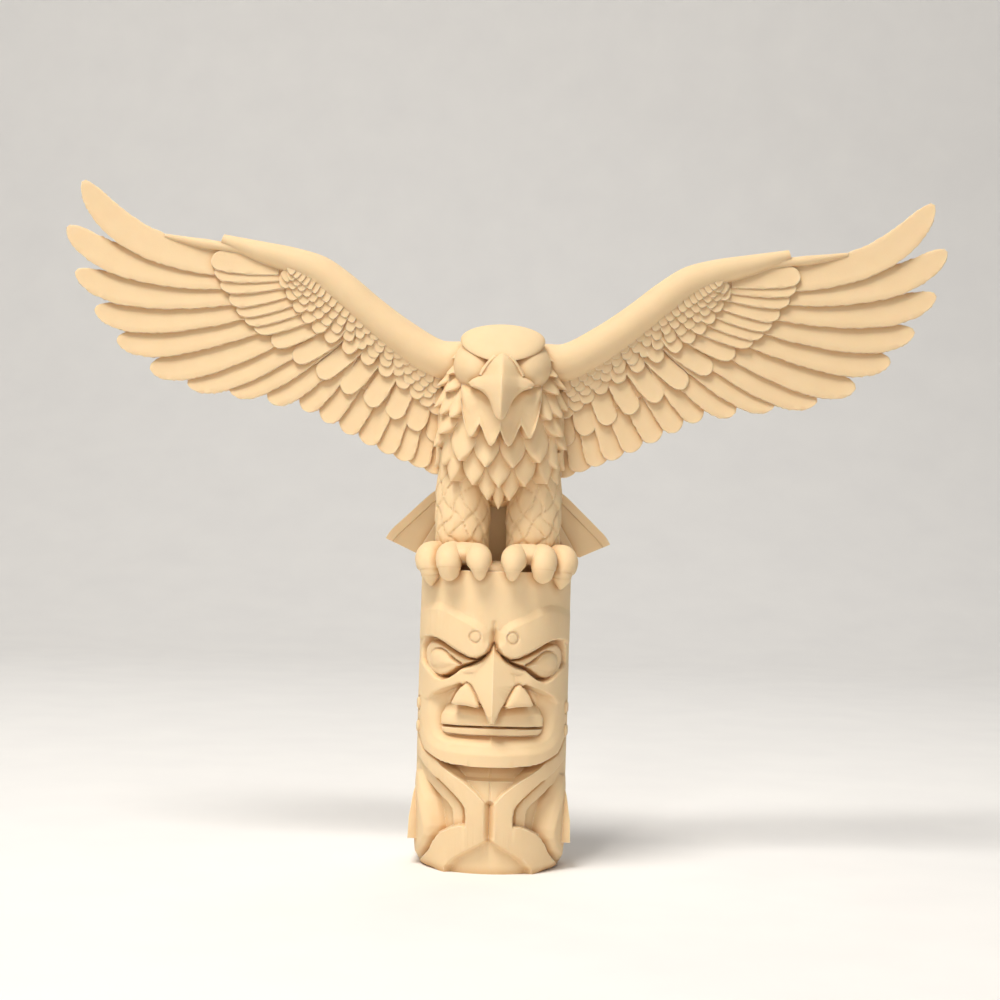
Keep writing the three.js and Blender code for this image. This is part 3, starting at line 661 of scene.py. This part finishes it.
radius = sunk(BELLY, BELLY_FLOOR, width=0.6)
radius = groove([(0, 9.6), (0, 9.0), (0, 5.4)], 1.0, 0.8)
radius = sunk(BAND, BAND_FLOOR, width=0.12)
radius = groove(BAND[3:10], 0.35, 0.25)
radius = sunk(PANEL, PANEL_FLOOR, width=0.12)
KNEE = [
    (10.2, 13.8), (9.5, 11.7), (8.7, 9.6), (8.1, 7.6), (7.75, 6.1), (7.8, 4.6), (8.5, 2.7), *KNEE_FOOT,
    (13, 13),
]
knee_crest = np.interp(height, [0, 2, 4, 7, 11], [0.1, 0.5, 0.85, 1.1, 1.15])
radius = raised(KNEE, -2.0, knee_crest, 1.1, bulge=1.1, drawn_at=0)
base_round = np.interp(height, [0, 0.3, 0.8, 1.6, 3.0], [1.2, 0.75, 0.4, 0.12, 0])
sides = slope(from_front, math.radians(30), math.radians(58))
sides *= 1 - slope(from_front, math.radians(100), math.radians(140))
radius = radius - base_round * sides
print("the pole's foot is rounded by up to", base_round.max(), "mm")

# %% Ear studs on the pole's sides
EAR_HEIGHTS = (23.1, 19.8)
EAR_ANGLE = math.radians(75)
EAR_RADIUS = 0.8
EAR_RISE = 0.22
EAR_MOAT, EAR_MOAT_HALF = 0.2, 0.15
for ear_height in EAR_HEIGHTS:
    from_ear = np.hypot(POLE_RADIUS * (from_front - EAR_ANGLE), height - ear_height)
    stud = EAR_RISE * slope(EAR_RADIUS - from_ear, -0.05, 0.1)
    moat = EAR_MOAT * np.clip(1 - np.abs(from_ear - EAR_RADIUS - EAR_MOAT_HALF) / EAR_MOAT_HALF, 0, 1)
    radius = radius + front * (stud - moat)

# %% Close the pole
for v, r, a, z in zip(bm.verts, radius, angle, height):
    v.co = (r * math.sin(a), -r * math.cos(a), z)
bmesh.ops.remove_doubles(bm, verts=bm.verts, dist=1e-4)
rims = [e for e in bm.edges if e.is_boundary]
bmesh.ops.edgeloop_fill(bm, edges=rims)
post = thinned(keep(bm), ratio=0.4, kept_above=COLLAR_BOTTOM)
print("pole:", len(post.data.polygons), "faces")

# %% The dish behind the toes
DISH_RADIUS = 8.8
DISH_FLOOR = 41.2
DISH_CUTTER_TOP = 44
DISH_SIDES = 96
bm = bmesh.new()
bmesh.ops.create_cone(
    bm, cap_ends=True, segments=DISH_SIDES, radius1=DISH_RADIUS, radius2=DISH_RADIUS,
    depth=DISH_CUTTER_TOP - DISH_FLOOR)
bmesh.ops.translate(bm, vec=(0, 0, (DISH_CUTTER_TOP + DISH_FLOOR) / 2), verts=bm.verts)
post = joined([post, keep(bm)], "DIFFERENCE")
BOSS_RADIUS, BOSS_RISE = 3.4, 2.5
boss = ball(lambda co: Vector((co.x * BOSS_RADIUS, co.y * BOSS_RADIUS, DISH_FLOOR + co.z * BOSS_RISE)))
pole_shells = [post, keep(boss)]
print("pole with its dish:", len(post.data.polygons), "faces")

# %% Flaps at the pole's sides
FLAP_REACH = 11.65
FLAP_ROOT = 7
FLAP_FOOT = 4
FLAP_RISE = 9.4
FLAP_TAPER = 0.87
FLAP_EDGE = [
    (-1.5, 13.6), (0.6, 11.9), (2.4, 9.4), (3.9, 6.9), (5.0, 4.2), (-4.0, 3.8), (-4.1, 7.0), (-3.2, 10.4),
]


def flap_place(co):
    """Turns the slab to the pole's side and draws its top in towards the pole."""
    taper = mix(1, FLAP_TAPER, (max(0, co.z - FLAP_FOOT) / FLAP_RISE) ** 2.2)
    return Vector((-co.y * taper, co.x, co.z))


pole_shells += both(keep(placed(plate(FLAP_EDGE, FLAP_REACH, FLAP_ROOT), flap_place)))
print("shells in the pole:", len(pole_shells))

# %% [markdown]
# ## The eagle's body
#
# The trunk and the head are egg shapes, made of spheres whose vertices we place. Pointed feathers lie on
# them in rows like roof tiles, each with its tip lifted off the row below. They are laid on as thin shells,
# because their overlaps then come out by themselves.

# %% Trunk, skull, cheeks and crown
BODY_HEIGHT = 63
BODY_CENTRE_Y = -0.4
BODY_HALF_WIDTH = 9.2
BODY_HALF_DEPTH = 7.2
PLUMAGE_HALF_HEIGHT = 14.5
HEAD_TOP = 77.2
JOWL_HEIGHT = 71.6


def trunk(co):
    """An egg that narrows downwards."""
    taper = 1 - 0.42 * co.z**2 if co.z < 0 else 1
    return Vector((
        co.x * BODY_HALF_WIDTH * taper,
        BODY_CENTRE_Y + co.y * BODY_HALF_DEPTH * taper,
        BODY_HEIGHT + co.z * (11.6 if co.z < 0 else 12.5)))


def skull(co):
    return Vector((co.x * 6.1, -2.2 + co.y * 5.6, HEAD_TOP - 6.0 + co.z * 6.0))


def jowl(co):
    """The cheek of the eagle, which leans back towards its top."""
    z = JOWL_HEIGHT + co.z * (3.8 if co.z < 0 else 4.2)
    return Vector((3.1 + co.x * 3.9, -3.7 + co.y * 5.1 + 0.33 * (z - JOWL_HEIGHT), z))


def crown(co):
    """The hood's front slopes down to a sharp brow edge, which overhangs the eyes in a shallow V."""
    ahead = max(0, -co.y)
    rim = HEAD_TOP - 1.9 - ahead * (3.5 - 0.6 * abs(co.x))
    rise = co.z * (2.3 if co.z > 0 else mix(1.5, 0.5, ahead))
    return Vector((co.x * 6.05, -4.0 + co.y * 5.7, rim + rise))


eagle_shells = [keep(ball(trunk)), keep(ball(skull)), keep(ball(crown, 72, 48))]
eagle_shells += both(keep(ball(jowl, 64, 44)))
print("shells in the eagle:", len(eagle_shells))

# %% Beak
# From its top down: the height of each station, its half width, the reach of its ridge, how fast its sides
# fall back, and where its back lies. The wide stations in the middle are the corners of the mouth.
BEAK_HEIGHTS = [73.0, 72.2, 71.3, 70.5, 69.9, 69.4, 68.9, 68.4, 67.9, 67.3, 66.6, 65.7, 64.7, 64.1, 63.7]
BEAK_HALVES = [0.25, 1.25, 2.0, 2.45, 3.05, 4.1, 4.65, 4.3, 3.0, 2.25, 1.75, 1.35, 1.05, 0.8, 0.35]
BEAK_REACH = [9.9, 10.7, 11.4, 11.9, 12.3, 12.65, 12.9, 13.05, 13.15, 13.25, 13.3, 13.3, 13.2, 13.05, 12.7]
BEAK_FALLS = [0.7, 0.8, 0.95, 1.1, 1.2, 1.2, 1.2, 1.2, 1.25, 1.35, 1.5, 1.7, 1.8, 1.8, 1.5]
BEAK_BACKS = [5, 5, 5, 5, 5, 5, 5.5, 6, 7.0, 8.2, 9.6, 10.9, 11.6, 12.0, 12.3]


def beak(co):
    """A hooked wedge with a round ridge, whose sides fall back from it and turn in at their rims."""
    t = 0.5 - co.y
    x = 2 * co.x * along(BEAK_HALVES, t)
    ridge_side = math.hypot(min(abs(x), 2.4), 0.3) - 0.3 + 0.45 * max(0, abs(x) - 2.4)
    rim = 0.3 * max(0, abs(2 * co.x) - 0.85) / 0.15
    front = along(BEAK_REACH, t) - ridge_side * along(BEAK_FALLS, t) - rim
    return Vector((x, -front if co.z > 0 else -along(BEAK_BACKS, t), along(BEAK_HEIGHTS, t)))


eagle_shells.append(keep(placed(block(26, 56), beak)))
cere = Line([(0.95, -9.2, 72.6), (1.75, -9.2, 71.8), (2.45, -9.0, 70.8), (2.95, -9.0, 69.9)])
eagle_shells += both(keep(tube(cere, [0.3, 0.34, 0.36, 0.3], [0.5, 0.6, 0.65, 0.6], 16, 16)))
print("the beak reaches", max(BEAK_REACH), "mm forward")

# %% Plumage


def point_end(t):
    """The outline of a pointed feather, as a share of its half width."""
    return min(1, 0.7 + t) * max(0.08, 1 - max(0, (t - 0.35) / 0.65) ** 2.6)


def lobe_end(t):
    """The outline of a feather with a round end, as a share of its half width."""
    return min(1, 0.65 + t) * math.sqrt(max(0.02, 1 - max(0, (t - 0.4) / 0.6) ** 2.2))


def on_body(turn, height, stand_off):
    """A place on the round body, at an angle from its front and at a height, stood off its skin."""
    share = (height - BODY_HEIGHT) / PLUMAGE_HALF_HEIGHT
    shrink = math.sqrt(max(0.02, 1 - share * share))
    return Vector((
        math.sin(turn) * (BODY_HALF_WIDTH * shrink + stand_off),
        BODY_CENTRE_Y - math.cos(turn) * (BODY_HALF_DEPTH * shrink + stand_off), height))


def sunk_in(point, share):
    """Brings a place nearer to the body's axis, for the hidden side of a feather."""
    return Vector((point.x * share, BODY_CENTRE_Y + (point.y - BODY_CENTRE_Y) * share, point.z))


def angle_at(x, height, stand_off):
    """The angle at which the body's skin reaches x in the front view."""
    share = (height - BODY_HEIGHT) / PLUMAGE_HALF_HEIGHT
    return math.asin(min(1, x / (BODY_HALF_WIDTH * math.sqrt(1 - share * share) + stand_off)))


def body_feather(x, height, length, half_width, lift, end=point_end, lean=0.0, swell=0.25):
    """A feather laid on the body. Its tip stands at x and a height in the front view, and off the skin by
    the lift. The lean moves its root to one side, and its middle swells over its sides."""
    middle = angle_at(x, height, lift)
    girth = math.hypot(BODY_HALF_WIDTH * math.cos(middle), BODY_HALF_DEPTH * math.sin(middle))

    def place(co):
        t = co.x + 0.5
        side = along(SECTION, co.y + 0.5)
        width = side * end(t) * half_width
        rim = max(0, (abs(side) - 0.6) / 0.4) ** 3 + max(0, (t - 0.92) / 0.08) ** 2
        turn = middle + (width - lean * (1 - t)) / girth
        stand_off = mix(-0.3, lift, t**2) + swell * (1 - side * side) - 0.14 * min(1, rim)
        skin = on_body(turn, height + length * (1 - t), stand_off)
        return skin if co.z > 0 else sunk_in(skin, 0.5)

    return keep(placed(block(14, len(SECTION) - 1), place))


# Each row of the breast, from the middle outwards: the tip's x and height, and the half width of a feather.
BREAST = (
    ((1.96, 57.1, 2.0), (5.7, 57.9, 2.15)),
    ((0, 54.3, 1.95), (3.7, 54.5, 1.95), (6.8, 55.0, 1.6)),
    ((1.55, 52.4, 1.75),),
    ((0, 51.2, 1.4),),
)
for row, feathers in enumerate(BREAST):
    length = 6.6 - 0.3 * row
    lift = 1.5 - 0.15 * row
    for x, tip_height, half_width in feathers:
        feather = body_feather(x, tip_height, length, half_width, lift, lean=-0.25 if x else 0)
        eagle_shells += both(feather) if x else [feather]
print("shells with the breast:", len(eagle_shells))

# %% The bib under the beak
# One smooth shell with four points. Its lower edge is given from the middle outwards, its lift downwards.
BIB_TOP = 68.9
BIB_ACROSS = [0, 0.3, 0.75, 1.25, 1.6, 2.1, 2.6, 2.95, 3.4, 3.8, 4.2, 4.5, 4.9, 5.35, 5.7]
BIB_LIFTS = [0.9, 1.5, 1.6, 1.45, 1.5, 1.9]
BIB_EDGE = [62.2, 61.5, 60.5, 60.05, 60.25, 61.2, 62.5, 63.1, 62.3, 61.6, 61.25, 61.4, 62.3, 64.2, 66.4]


def bib(co):
    across_share = abs(2 * co.y)
    x = along(BIB_ACROSS, across_share)
    t = 1 - (0.5 - co.x) ** 1.3
    z = mix(BIB_TOP, along(BIB_EDGE, across_share), t)
    lift = along(BIB_LIFTS, t) - 0.15 * max(0, (t - 0.93) / 0.07) ** 2
    lift -= 0.3 * max(0, (across_share - 0.86) / 0.14) ** 2
    skin = on_body(math.copysign(angle_at(x, z, lift), co.y), z, lift)
    return skin if co.z > 0 else sunk_in(skin, 0.6)


eagle_shells.append(keep(placed(block(30, 84), bib)))
print("the bib hangs from", BIB_TOP, "down to", min(BIB_EDGE), "mm")

# %% Lobes down each side of the neck
# Their tips' x and height, then the length, the half width and the lift. They cover the root of the wing.
LOBES = (
    (7.0, 72.5, 3.0, 1.7, 1.2), (7.6, 70.2, 3.4, 2.0, 1.2), (7.8, 67.7, 3.8, 2.1, 1.0),
    (9.0, 68.6, 3.4, 1.6, 0.9), (8.4, 64.5, 4.4, 1.8, 0.9), (6.9, 64.0, 5.0, 1.55, 1.2),
    (9.3, 65.5, 3.6, 1.5, 0.7), (9.2, 59.9, 4.2, 1.5, 0.8), (8.5, 61.7, 4.2, 1.9, 1.1),
    (7.9, 57.2, 4.6, 1.4, 0.8), (9.2, 57.0, 4.0, 1.3, 0.6), (8.1, 54.9, 4.6, 1.3, 0.8),
)
for lobe in LOBES:
    eagle_shells += both(body_feather(*lobe, lobe_end, lean=0.35, swell=0.5))
print("shells with the lobes:", len(eagle_shells))

# %% [markdown]
# ## Legs, toes and tail
#
# The legs are thick columns under small scales, and blunt toes grip the pole's rim. The scales are drawn by
# a slanting lattice in the leg's own place function, which keeps a leg one closed shell. Each toe is a
# sphere stretched along a bent line, so that both its ends are round. The tail is a fan of seven blades.

# %% Legs
HIP = 5.1
LEG_LENGTH, LEG_RADIUS = 17, 3.6
LEG_SIDES, LEG_STEPS = 104, 74
SCALE_WIDTH, SCALE_HEIGHT = 2.7, 3.5
SCALE_RISE, SCALE_GROOVE = 0.3, 0.16
leg_line = Line([
    (HIP - 0.4, 0.4, 58), (HIP, -0.6, 52), (HIP, -1.4, 47.5), (HIP, -1.6, 43.6), (HIP, -1.6, 41),
])
LEG_WIDTHS = [4.0, 3.9, 3.75, 3.5, 3.0]
LEG_DEPTHS = [4.2, 3.7, 3.4, 3.2, 3.0]


def leg_place(co):
    """Each scale swells from its upper corner to its lower one and has a thin groove round it."""
    t = co.z + 0.5
    turn = math.atan2(co.x, -co.y)
    drop = t * LEG_LENGTH
    around = turn * LEG_RADIUS + 0.25 * math.sin(drop * 1.3) + 0.2 * math.sin(turn * 4 + drop)
    drop += 0.35 * math.sin(around * 1.7 + 1)
    rise_left = around / SCALE_WIDTH + drop / SCALE_HEIGHT
    rise_right = drop / SCALE_HEIGHT - around / SCALE_WIDTH
    left, right = rise_left % 1, rise_right % 1
    gap = min(left, 1 - left, right, 1 - right)
    relief = SCALE_RISE * (left + right) / 2 - SCALE_GROOVE * max(0, 1 - gap / 0.1)
    point = leg_line.at(t)
    return point + Vector((
        co.x * (along(LEG_WIDTHS, t) + relief), co.y * (along(LEG_DEPTHS, t) + relief), 0))


leg = thinned(keep(placed(column(LEG_SIDES, LEG_STEPS), leg_place)), ratio=0.5)
eagle_shells += both(leg)
print("one leg:", len(leg.data.polygons), "faces")

# %% Toes
TOE_JOINTS = (0.4, 0.56, 0.78)
CREASE_DEPTH, CREASE_HALF = 0.03, 0.022


def toe(x, knuckle_y, tip, girths):
    """A toe arches over the pole's rim, with faint creases over its joints, and ends in a blunt claw."""
    line = Line([
        (mix(HIP, x, 0.3), -2.2, 44.4), (mix(HIP, x, 0.9), knuckle_y * 0.8, 44.5),
        (x, knuckle_y - 1.0, 43.9), (mix(x, tip[0], 0.5), mix(knuckle_y, tip[1], 0.6) - 1.1, 42.6), tip,
    ])

    def place(co):
        t = math.acos(max(-1, min(1, -co.z))) / math.pi
        ahead = line.ahead(t)
        side = Vector((-ahead.y, ahead.x, 0))
        if side.length < 0.14:
            side = Vector((1, 0, 0))
        side.normalize()
        if side.x < 0:
            side.negate()
        out = side.cross(ahead).normalized()
        creases = sum(max(0, 1 - abs(t - at) / CREASE_HALF) for at in TOE_JOINTS)
        girth = (along(girths, t) - CREASE_DEPTH * creases) * min(1, (math.sin(t * math.pi) * 2.4) ** 0.6)
        ring = math.hypot(co.x, co.y) or 1
        return line.at(t) + (side * co.x + out * co.y) * girth / ring

    return keep(ball(place, 32, 56))


INNER_GIRTHS = [1.6, 1.8, 1.85, 1.8, 1.4, 0.9, 0.75]
MIDDLE_GIRTHS = [1.7, 1.9, 1.95, 1.9, 1.75, 1.4, 1.15]
OUTER_GIRTHS = [1.7, 1.8, 1.95, 2.0, 1.9, 1.4, 1.0]
# Each toe: the x and y of its knuckle, the place of its claw's tip, and its girth from root to tip.
TOES = (
    (2.4, -10.2, (2.2, -11.1, 41.2), INNER_GIRTHS),
    (6.65, -8.7, (6.5, -9.4, 41.0), MIDDLE_GIRTHS),
    (9.6, -4.8, (9.1, -6.7, 40.0), OUTER_GIRTHS),
)


def web(co):
    """The flat ball of the foot, from which the toes spread."""
    return Vector((4.5 + co.x * 3.5, -6.3 + co.y * 4.3, 44.7 + co.z * 1.7))


eagle_shells += both(keep(ball(web)))
for x, knuckle_y, tip, girths in TOES:
    eagle_shells += both(toe(x, knuckle_y, tip, girths))
print("toes on each foot:", len(TOES))

# %% Tail
TAIL_FEATHERS = 7
TAIL_SPREAD = math.radians(46.5)
TAIL_HALF_WIDTH = 2.7
TAIL_TOP = 59
TAIL_LENGTH = 16.9
TAIL_OUTER_EXTRA = 3.9
TAIL_START_Y, TAIL_START_HEIGHT = 1.8, 60
TAIL_SLOPE = 0.42
TAIL_HALF_THICKNESS = 0.65
TAIL_BORDER = 0.35
TAIL_SECTION = [-1, -0.93, -0.5, 0, 0.5, 0.58, 1]


def tail_feather(index):
    """One blade of the fan. Its outer edge is a raised border, its inner corner is cut short."""
    half = (TAIL_FEATHERS - 1) / 2
    spread = (index - half) / half
    outward = 1 if spread >= 0 else -1
    length = TAIL_LENGTH + TAIL_OUTER_EXTRA * spread**2
    turn = TAIL_SPREAD * spread
    ahead = Vector((math.sin(turn), 0, -math.cos(turn)))

    def place(co):
        t = 1 - (0.5 - co.x) ** 1.8
        side = along(TAIL_SECTION, co.y + 0.5)
        wide = (0.5 + 0.5 * min(1, 1.8 * t)) * TAIL_HALF_WIDTH * (1 - 0.15 * max(0, (t - 0.9) / 0.1) ** 2)
        back = 0.9 * (1 - side) * t**3
        x = ahead.x * (length * t - back) - ahead.z * side * outward * wide
        z = TAIL_TOP + ahead.z * (length * t - back) + ahead.x * side * outward * wide
        border = TAIL_BORDER if side > 0.55 else 0.0
        y = TAIL_START_Y + (TAIL_START_HEIGHT - z) * TAIL_SLOPE + 0.5 * abs(spread)
        return Vector((x, y + (-TAIL_HALF_THICKNESS - border if co.z > 0 else TAIL_HALF_THICKNESS), z))

    return keep(placed(block(20, len(TAIL_SECTION) - 1), place))


for index in range(TAIL_FEATHERS):
    eagle_shells.append(tail_feather(index))
print("shells in the whole eagle:", len(eagle_shells))

# %% [markdown]
# ## One piece
#
# The real carving is one block, so all shells are joined into one closed mesh. A manifold Boolean does that
# quickly, while a remesh would round off every rim. Its edges stay crisp where the cutter left them crisp,
# and the rest is shaded smooth.

# %% Join everything
CRISP_ANGLE = math.radians(38)
carving = joined(pole_shells + eagle_shells + both(wing))
carving.name = "totem_carving"
carving.data.name = "totem_carving"
bm = bmesh.new()
bm.from_mesh(carving.data)
gaps = fill_gaps(bm)
bmesh.ops.scale(bm, vec=(MM, MM, MM), verts=bm.verts)
open_edges = sum(1 for e in bm.edges if not e.is_manifold)
bm.to_mesh(carving.data)
bm.free()
bpy.context.scene.collection.objects.link(carving)
bpy.context.view_layer.objects.active = carving
carving.select_set(True)
bpy.ops.object.shade_smooth_by_angle(angle=CRISP_ANGLE)
carving.select_set(False)
carving.data.calc_loop_triangles()
print("carving:", len(carving.data.loop_triangles), "triangles,", open_edges, "open edges")
print("sealed gaps filled:", gaps)

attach(carving, "root")
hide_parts("totem_pole")

# %% [markdown]
# ## The finish
#
# Tooling resin is a matte, slightly chalky cream. Light goes a little way into it, so its grooves look warm.
# The base colour also carries painted shade, a warm dark cream in the grooves from ambient occlusion, and a
# painted highlight, a pale cream along the sharp edges, found by comparing a softened normal with the true
# one, so that both follow the carving wherever it is changed.


# %% Node helpers
class Value:
    """Wraps a socket, so that maths on it adds Math nodes."""

    def __init__(self, tree, socket):
        self.tree, self.socket = tree, socket

    def maths(self, operation, other, swapped=False):
        node = self.tree.nodes.new("ShaderNodeMath")
        node.operation = operation
        for slot, item in zip(node.inputs, (other, self) if swapped else (self, other)):
            if isinstance(item, Value):
                self.tree.links.new(item.socket, slot)
            else:
                slot.default_value = item
        return Value(self.tree, node.outputs[0])

    def __add__(self, other):
        return self.maths("ADD", other)

    def __mul__(self, other):
        return self.maths("MULTIPLY", other)

    def __sub__(self, other):
        return self.maths("SUBTRACT", other)

    def __rsub__(self, other):
        return self.maths("SUBTRACT", other, swapped=True)

    def __pow__(self, other):
        return self.maths("POWER", other)

    __radd__ = __add__
    __rmul__ = __mul__


class Finish:
    """A material whose nodes are added by one method."""

    def __init__(self, name):
        self.material = bpy.data.materials.new(name)
        self.material.use_nodes = True
        self.tree = self.material.node_tree
        self.shader = self.tree.nodes["Principled BSDF"]

    def node(self, kind, output=0, settings=None, **values):
        """Adds a node. A value goes to the input with its name, or, named i and a number, to that one."""
        node = self.tree.nodes.new(kind)
        for name, setting in (settings or {}).items():
            setattr(node, name, setting)
        for name, value in values.items():
            numbered = name[1:].isdigit()
            socket = node.inputs[int(name[1:]) if numbered else name.replace("_", " ")]
            if isinstance(value, Value):
                self.tree.links.new(value.socket, socket)
            else:
                socket.default_value = value
        return Value(self.tree, node.outputs[output])

    def feed(self, name, value):
        """Links what changes over the surface to an input of the shader."""
        self.tree.links.new(value.socket, self.shader.inputs[name])

    def set(self, **constants):
        """Sets what is the same all over."""
        for name, value in constants.items():
            self.shader.inputs[name.replace("_", " ")].default_value = value


def shade_of(finish, factor, dark, light):
    """A colour between two, by a factor."""
    return finish.node("ShaderNodeMix", 2, {"data_type": "RGBA"}, i0=factor, i6=dark, i7=light)


# %% Cream resin
# The first colour is painted shade, warm and dark, for grooves and hollows; the second is the open resin.
GROOVE_SHADE_CREAM = (0.58, 0.33, 0.14, 1)
OPEN_CREAM = (0.80, 0.61, 0.37, 1)
# A painted highlight for the sharp open edges.
EDGE_HIGHLIGHT_CREAM = (0.96, 0.86, 0.66, 1)
EDGE_ROUND = 0.16 * MM
GROOVE_REACH = 1.2 * MM
GRAIN_DEPTH = 0.03 * MM
LIGHT_DEPTH = 0.6 * MM
resin = Finish("cream_resin")
on_piece = resin.node("ShaderNodeTexCoord", "Object")
soft_edges = resin.node("ShaderNodeBevel", 0, {"samples": 4}, Radius=EDGE_ROUND)
crevice = resin.node("ShaderNodeAmbientOcclusion", 1, {"samples": 6}, Distance=GROOVE_REACH)
mottle = resin.node("ShaderNodeTexNoise", 0, Vector=on_piece, Scale=320.0, Detail=3.0, Roughness=0.6)
grain = resin.node("ShaderNodeTexNoise", 0, Vector=on_piece, Scale=3200.0, Detail=2.0, Roughness=0.6)
facet = resin.node("ShaderNodeNewGeometry", 1)
edge = 1 - resin.node("ShaderNodeVectorMath", 1, {"operation": "DOT_PRODUCT"}, i0=soft_edges, i1=facet)
# Ambient occlusion paints shade into the grooves, with a random mottle of tone on top.
unshaded_and_mottle = 0.9 * crevice**1.6 + 0.2 * mottle - 0.08
shaded_body_colour = shade_of(resin, unshaded_and_mottle, GROOVE_SHADE_CREAM, OPEN_CREAM)
# Sharp edges away from the grooves get a painted highlight.
resin.feed("Base Color", shade_of(resin, 7.0 * (edge * crevice) - 0.15, shaded_body_colour, EDGE_HIGHLIGHT_CREAM))
resin.feed("Roughness", 0.6 + 0.15 * mottle)
resin.feed("Normal", resin.node(
    "ShaderNodeBump", 0, Strength=0.35, Distance=GRAIN_DEPTH, Height=grain, Normal=soft_edges))
resin.set(
    Specular_IOR_Level=0.3, Subsurface_Weight=0.25, Subsurface_Radius=(1.0, 0.5, 0.25),
    Subsurface_Scale=LIGHT_DEPTH)
carving.data.materials.clear()
carving.data.materials.append(resin.material)
print("nodes in the resin:", len(resin.tree.nodes))

# %% [markdown]
# ## Floor, light and camera
#
# The piece stands on a pale floor that sweeps up behind it, so that no horizon shows. One large soft lamp
# from above on the left gives the shadows, a weak one in front fills them, and a narrow spot lights the
# pole, which would else stay too dark. The camera looks straight at the front.

# %% Floor and backdrop
FLOOR_REACH = 0.6
SWEEP = 0.25
bm = bmesh.new()
bmesh.ops.create_grid(bm, x_segments=1, y_segments=1, size=FLOOR_REACH)
back_edge = [e for e in bm.edges if all(v.co.y > FLOOR_REACH * 0.9 for v in e.verts)]
raised_edge = bmesh.ops.extrude_edge_only(bm, edges=back_edge)
bmesh.ops.translate(bm, vec=(0, 0, 2 * FLOOR_REACH), verts=new_verts(raised_edge))
fold = [e for e in bm.edges if all(v.co.y > FLOOR_REACH * 0.9 and v.co.z < 1e-6 for v in e.verts)]
bmesh.ops.bevel(bm, geom=fold, affect="EDGES", offset=SWEEP, segments=24, profile=0.5, material=-1)
mesh = bpy.data.meshes.new("floor")
bm.to_mesh(mesh)
bm.free()
for polygon in mesh.polygons:
    polygon.use_smooth = True
floor = bpy.data.objects.new("floor", mesh)
bpy.context.scene.collection.objects.link(floor)
paper = Finish("pale_floor")
fleck = paper.node("ShaderNodeTexNoise", 0, Vector=paper.node("ShaderNodeTexCoord", "Object"), Scale=60.0)
paper.feed("Base Color", shade_of(paper, fleck, (0.86, 0.85, 0.84, 1), (0.92, 0.91, 0.89, 1)))
paper.set(Roughness=0.9)
floor.data.materials.append(paper.material)
print("floor:", len(mesh.polygons), "faces")

# %% Lights


def aimed(lamp, place, power, colour, target=(0, 0, 0.05)):
    """Hangs a lamp at a place and turns it to its target."""
    lamp.energy = power
    lamp.color = colour
    holder = bpy.data.objects.new(lamp.name, lamp)
    holder.location = place
    holder.rotation_euler = (Vector(target) - Vector(place)).to_track_quat("-Z", "Y").to_euler()
    bpy.context.scene.collection.objects.link(holder)


def area_light(name, size):
    """A round soft lamp."""
    lamp = bpy.data.lights.new(name, "AREA")
    lamp.shape = "DISK"
    lamp.size = size
    return lamp


POLE_LAMP_WIDTH = math.radians(11)
POLE_LAMP_TARGET = (0, 0, 0.022)
aimed(area_light("window", 0.26), (-0.17, -0.25, 0.60), 3.9, (1.0, 0.96, 0.9))
aimed(area_light("fill", 0.4), (0.03, -0.6, 0.06), 0.6, (1.0, 0.97, 0.94))
aimed(area_light("behind", 0.3), (0.1, 0.3, 0.45), 0.3, (1, 1, 1))
pole_lamp = bpy.data.lights.new("pole lamp", "SPOT")
pole_lamp.spot_size = POLE_LAMP_WIDTH
pole_lamp.spot_blend = 1.0
pole_lamp.shadow_soft_size = 0.03
aimed(pole_lamp, (-0.16, -0.5, 0.26), 2.3, (1.0, 0.95, 0.88), target=POLE_LAMP_TARGET)
world = bpy.data.worlds.new("room")
world.use_nodes = True
background = world.node_tree.nodes["Background"]
background.inputs["Color"].default_value = (1.0, 0.98, 0.96, 1)
background.inputs["Strength"].default_value = 0.26
bpy.context.scene.world = world
print("lamps:", len(bpy.data.lights))

# %% Camera
CAMERA_DISTANCE = 290
CAMERA_TARGET = Vector((0.19, 0, 52.5))
FIELD_OF_VIEW = math.radians(28.07)
VIEW_TURN = math.radians(0.4)
CAMERA_ROLL = math.radians(1.65)
camera = bpy.data.objects.new("camera", bpy.data.cameras.new("camera"))
camera.data.lens_unit = "FOV"
camera.data.angle = FIELD_OF_VIEW
looking_ahead = Euler((math.pi / 2, 0, VIEW_TURN)).to_matrix().to_4x4()
camera.matrix_world = (
    Matrix.Translation(CAMERA_TARGET * MM) @ looking_ahead
    @ Matrix.Translation((0, 0, CAMERA_DISTANCE * MM)) @ Matrix.Rotation(CAMERA_ROLL, 4, "Z"))
camera.data.clip_start = 0.01
bpy.context.scene.collection.objects.link(camera)
bpy.context.scene.camera = camera
bpy.context.scene.view_settings.view_transform = "Standard"
print("camera at", [round(v, 3) for v in camera.matrix_world.translation])
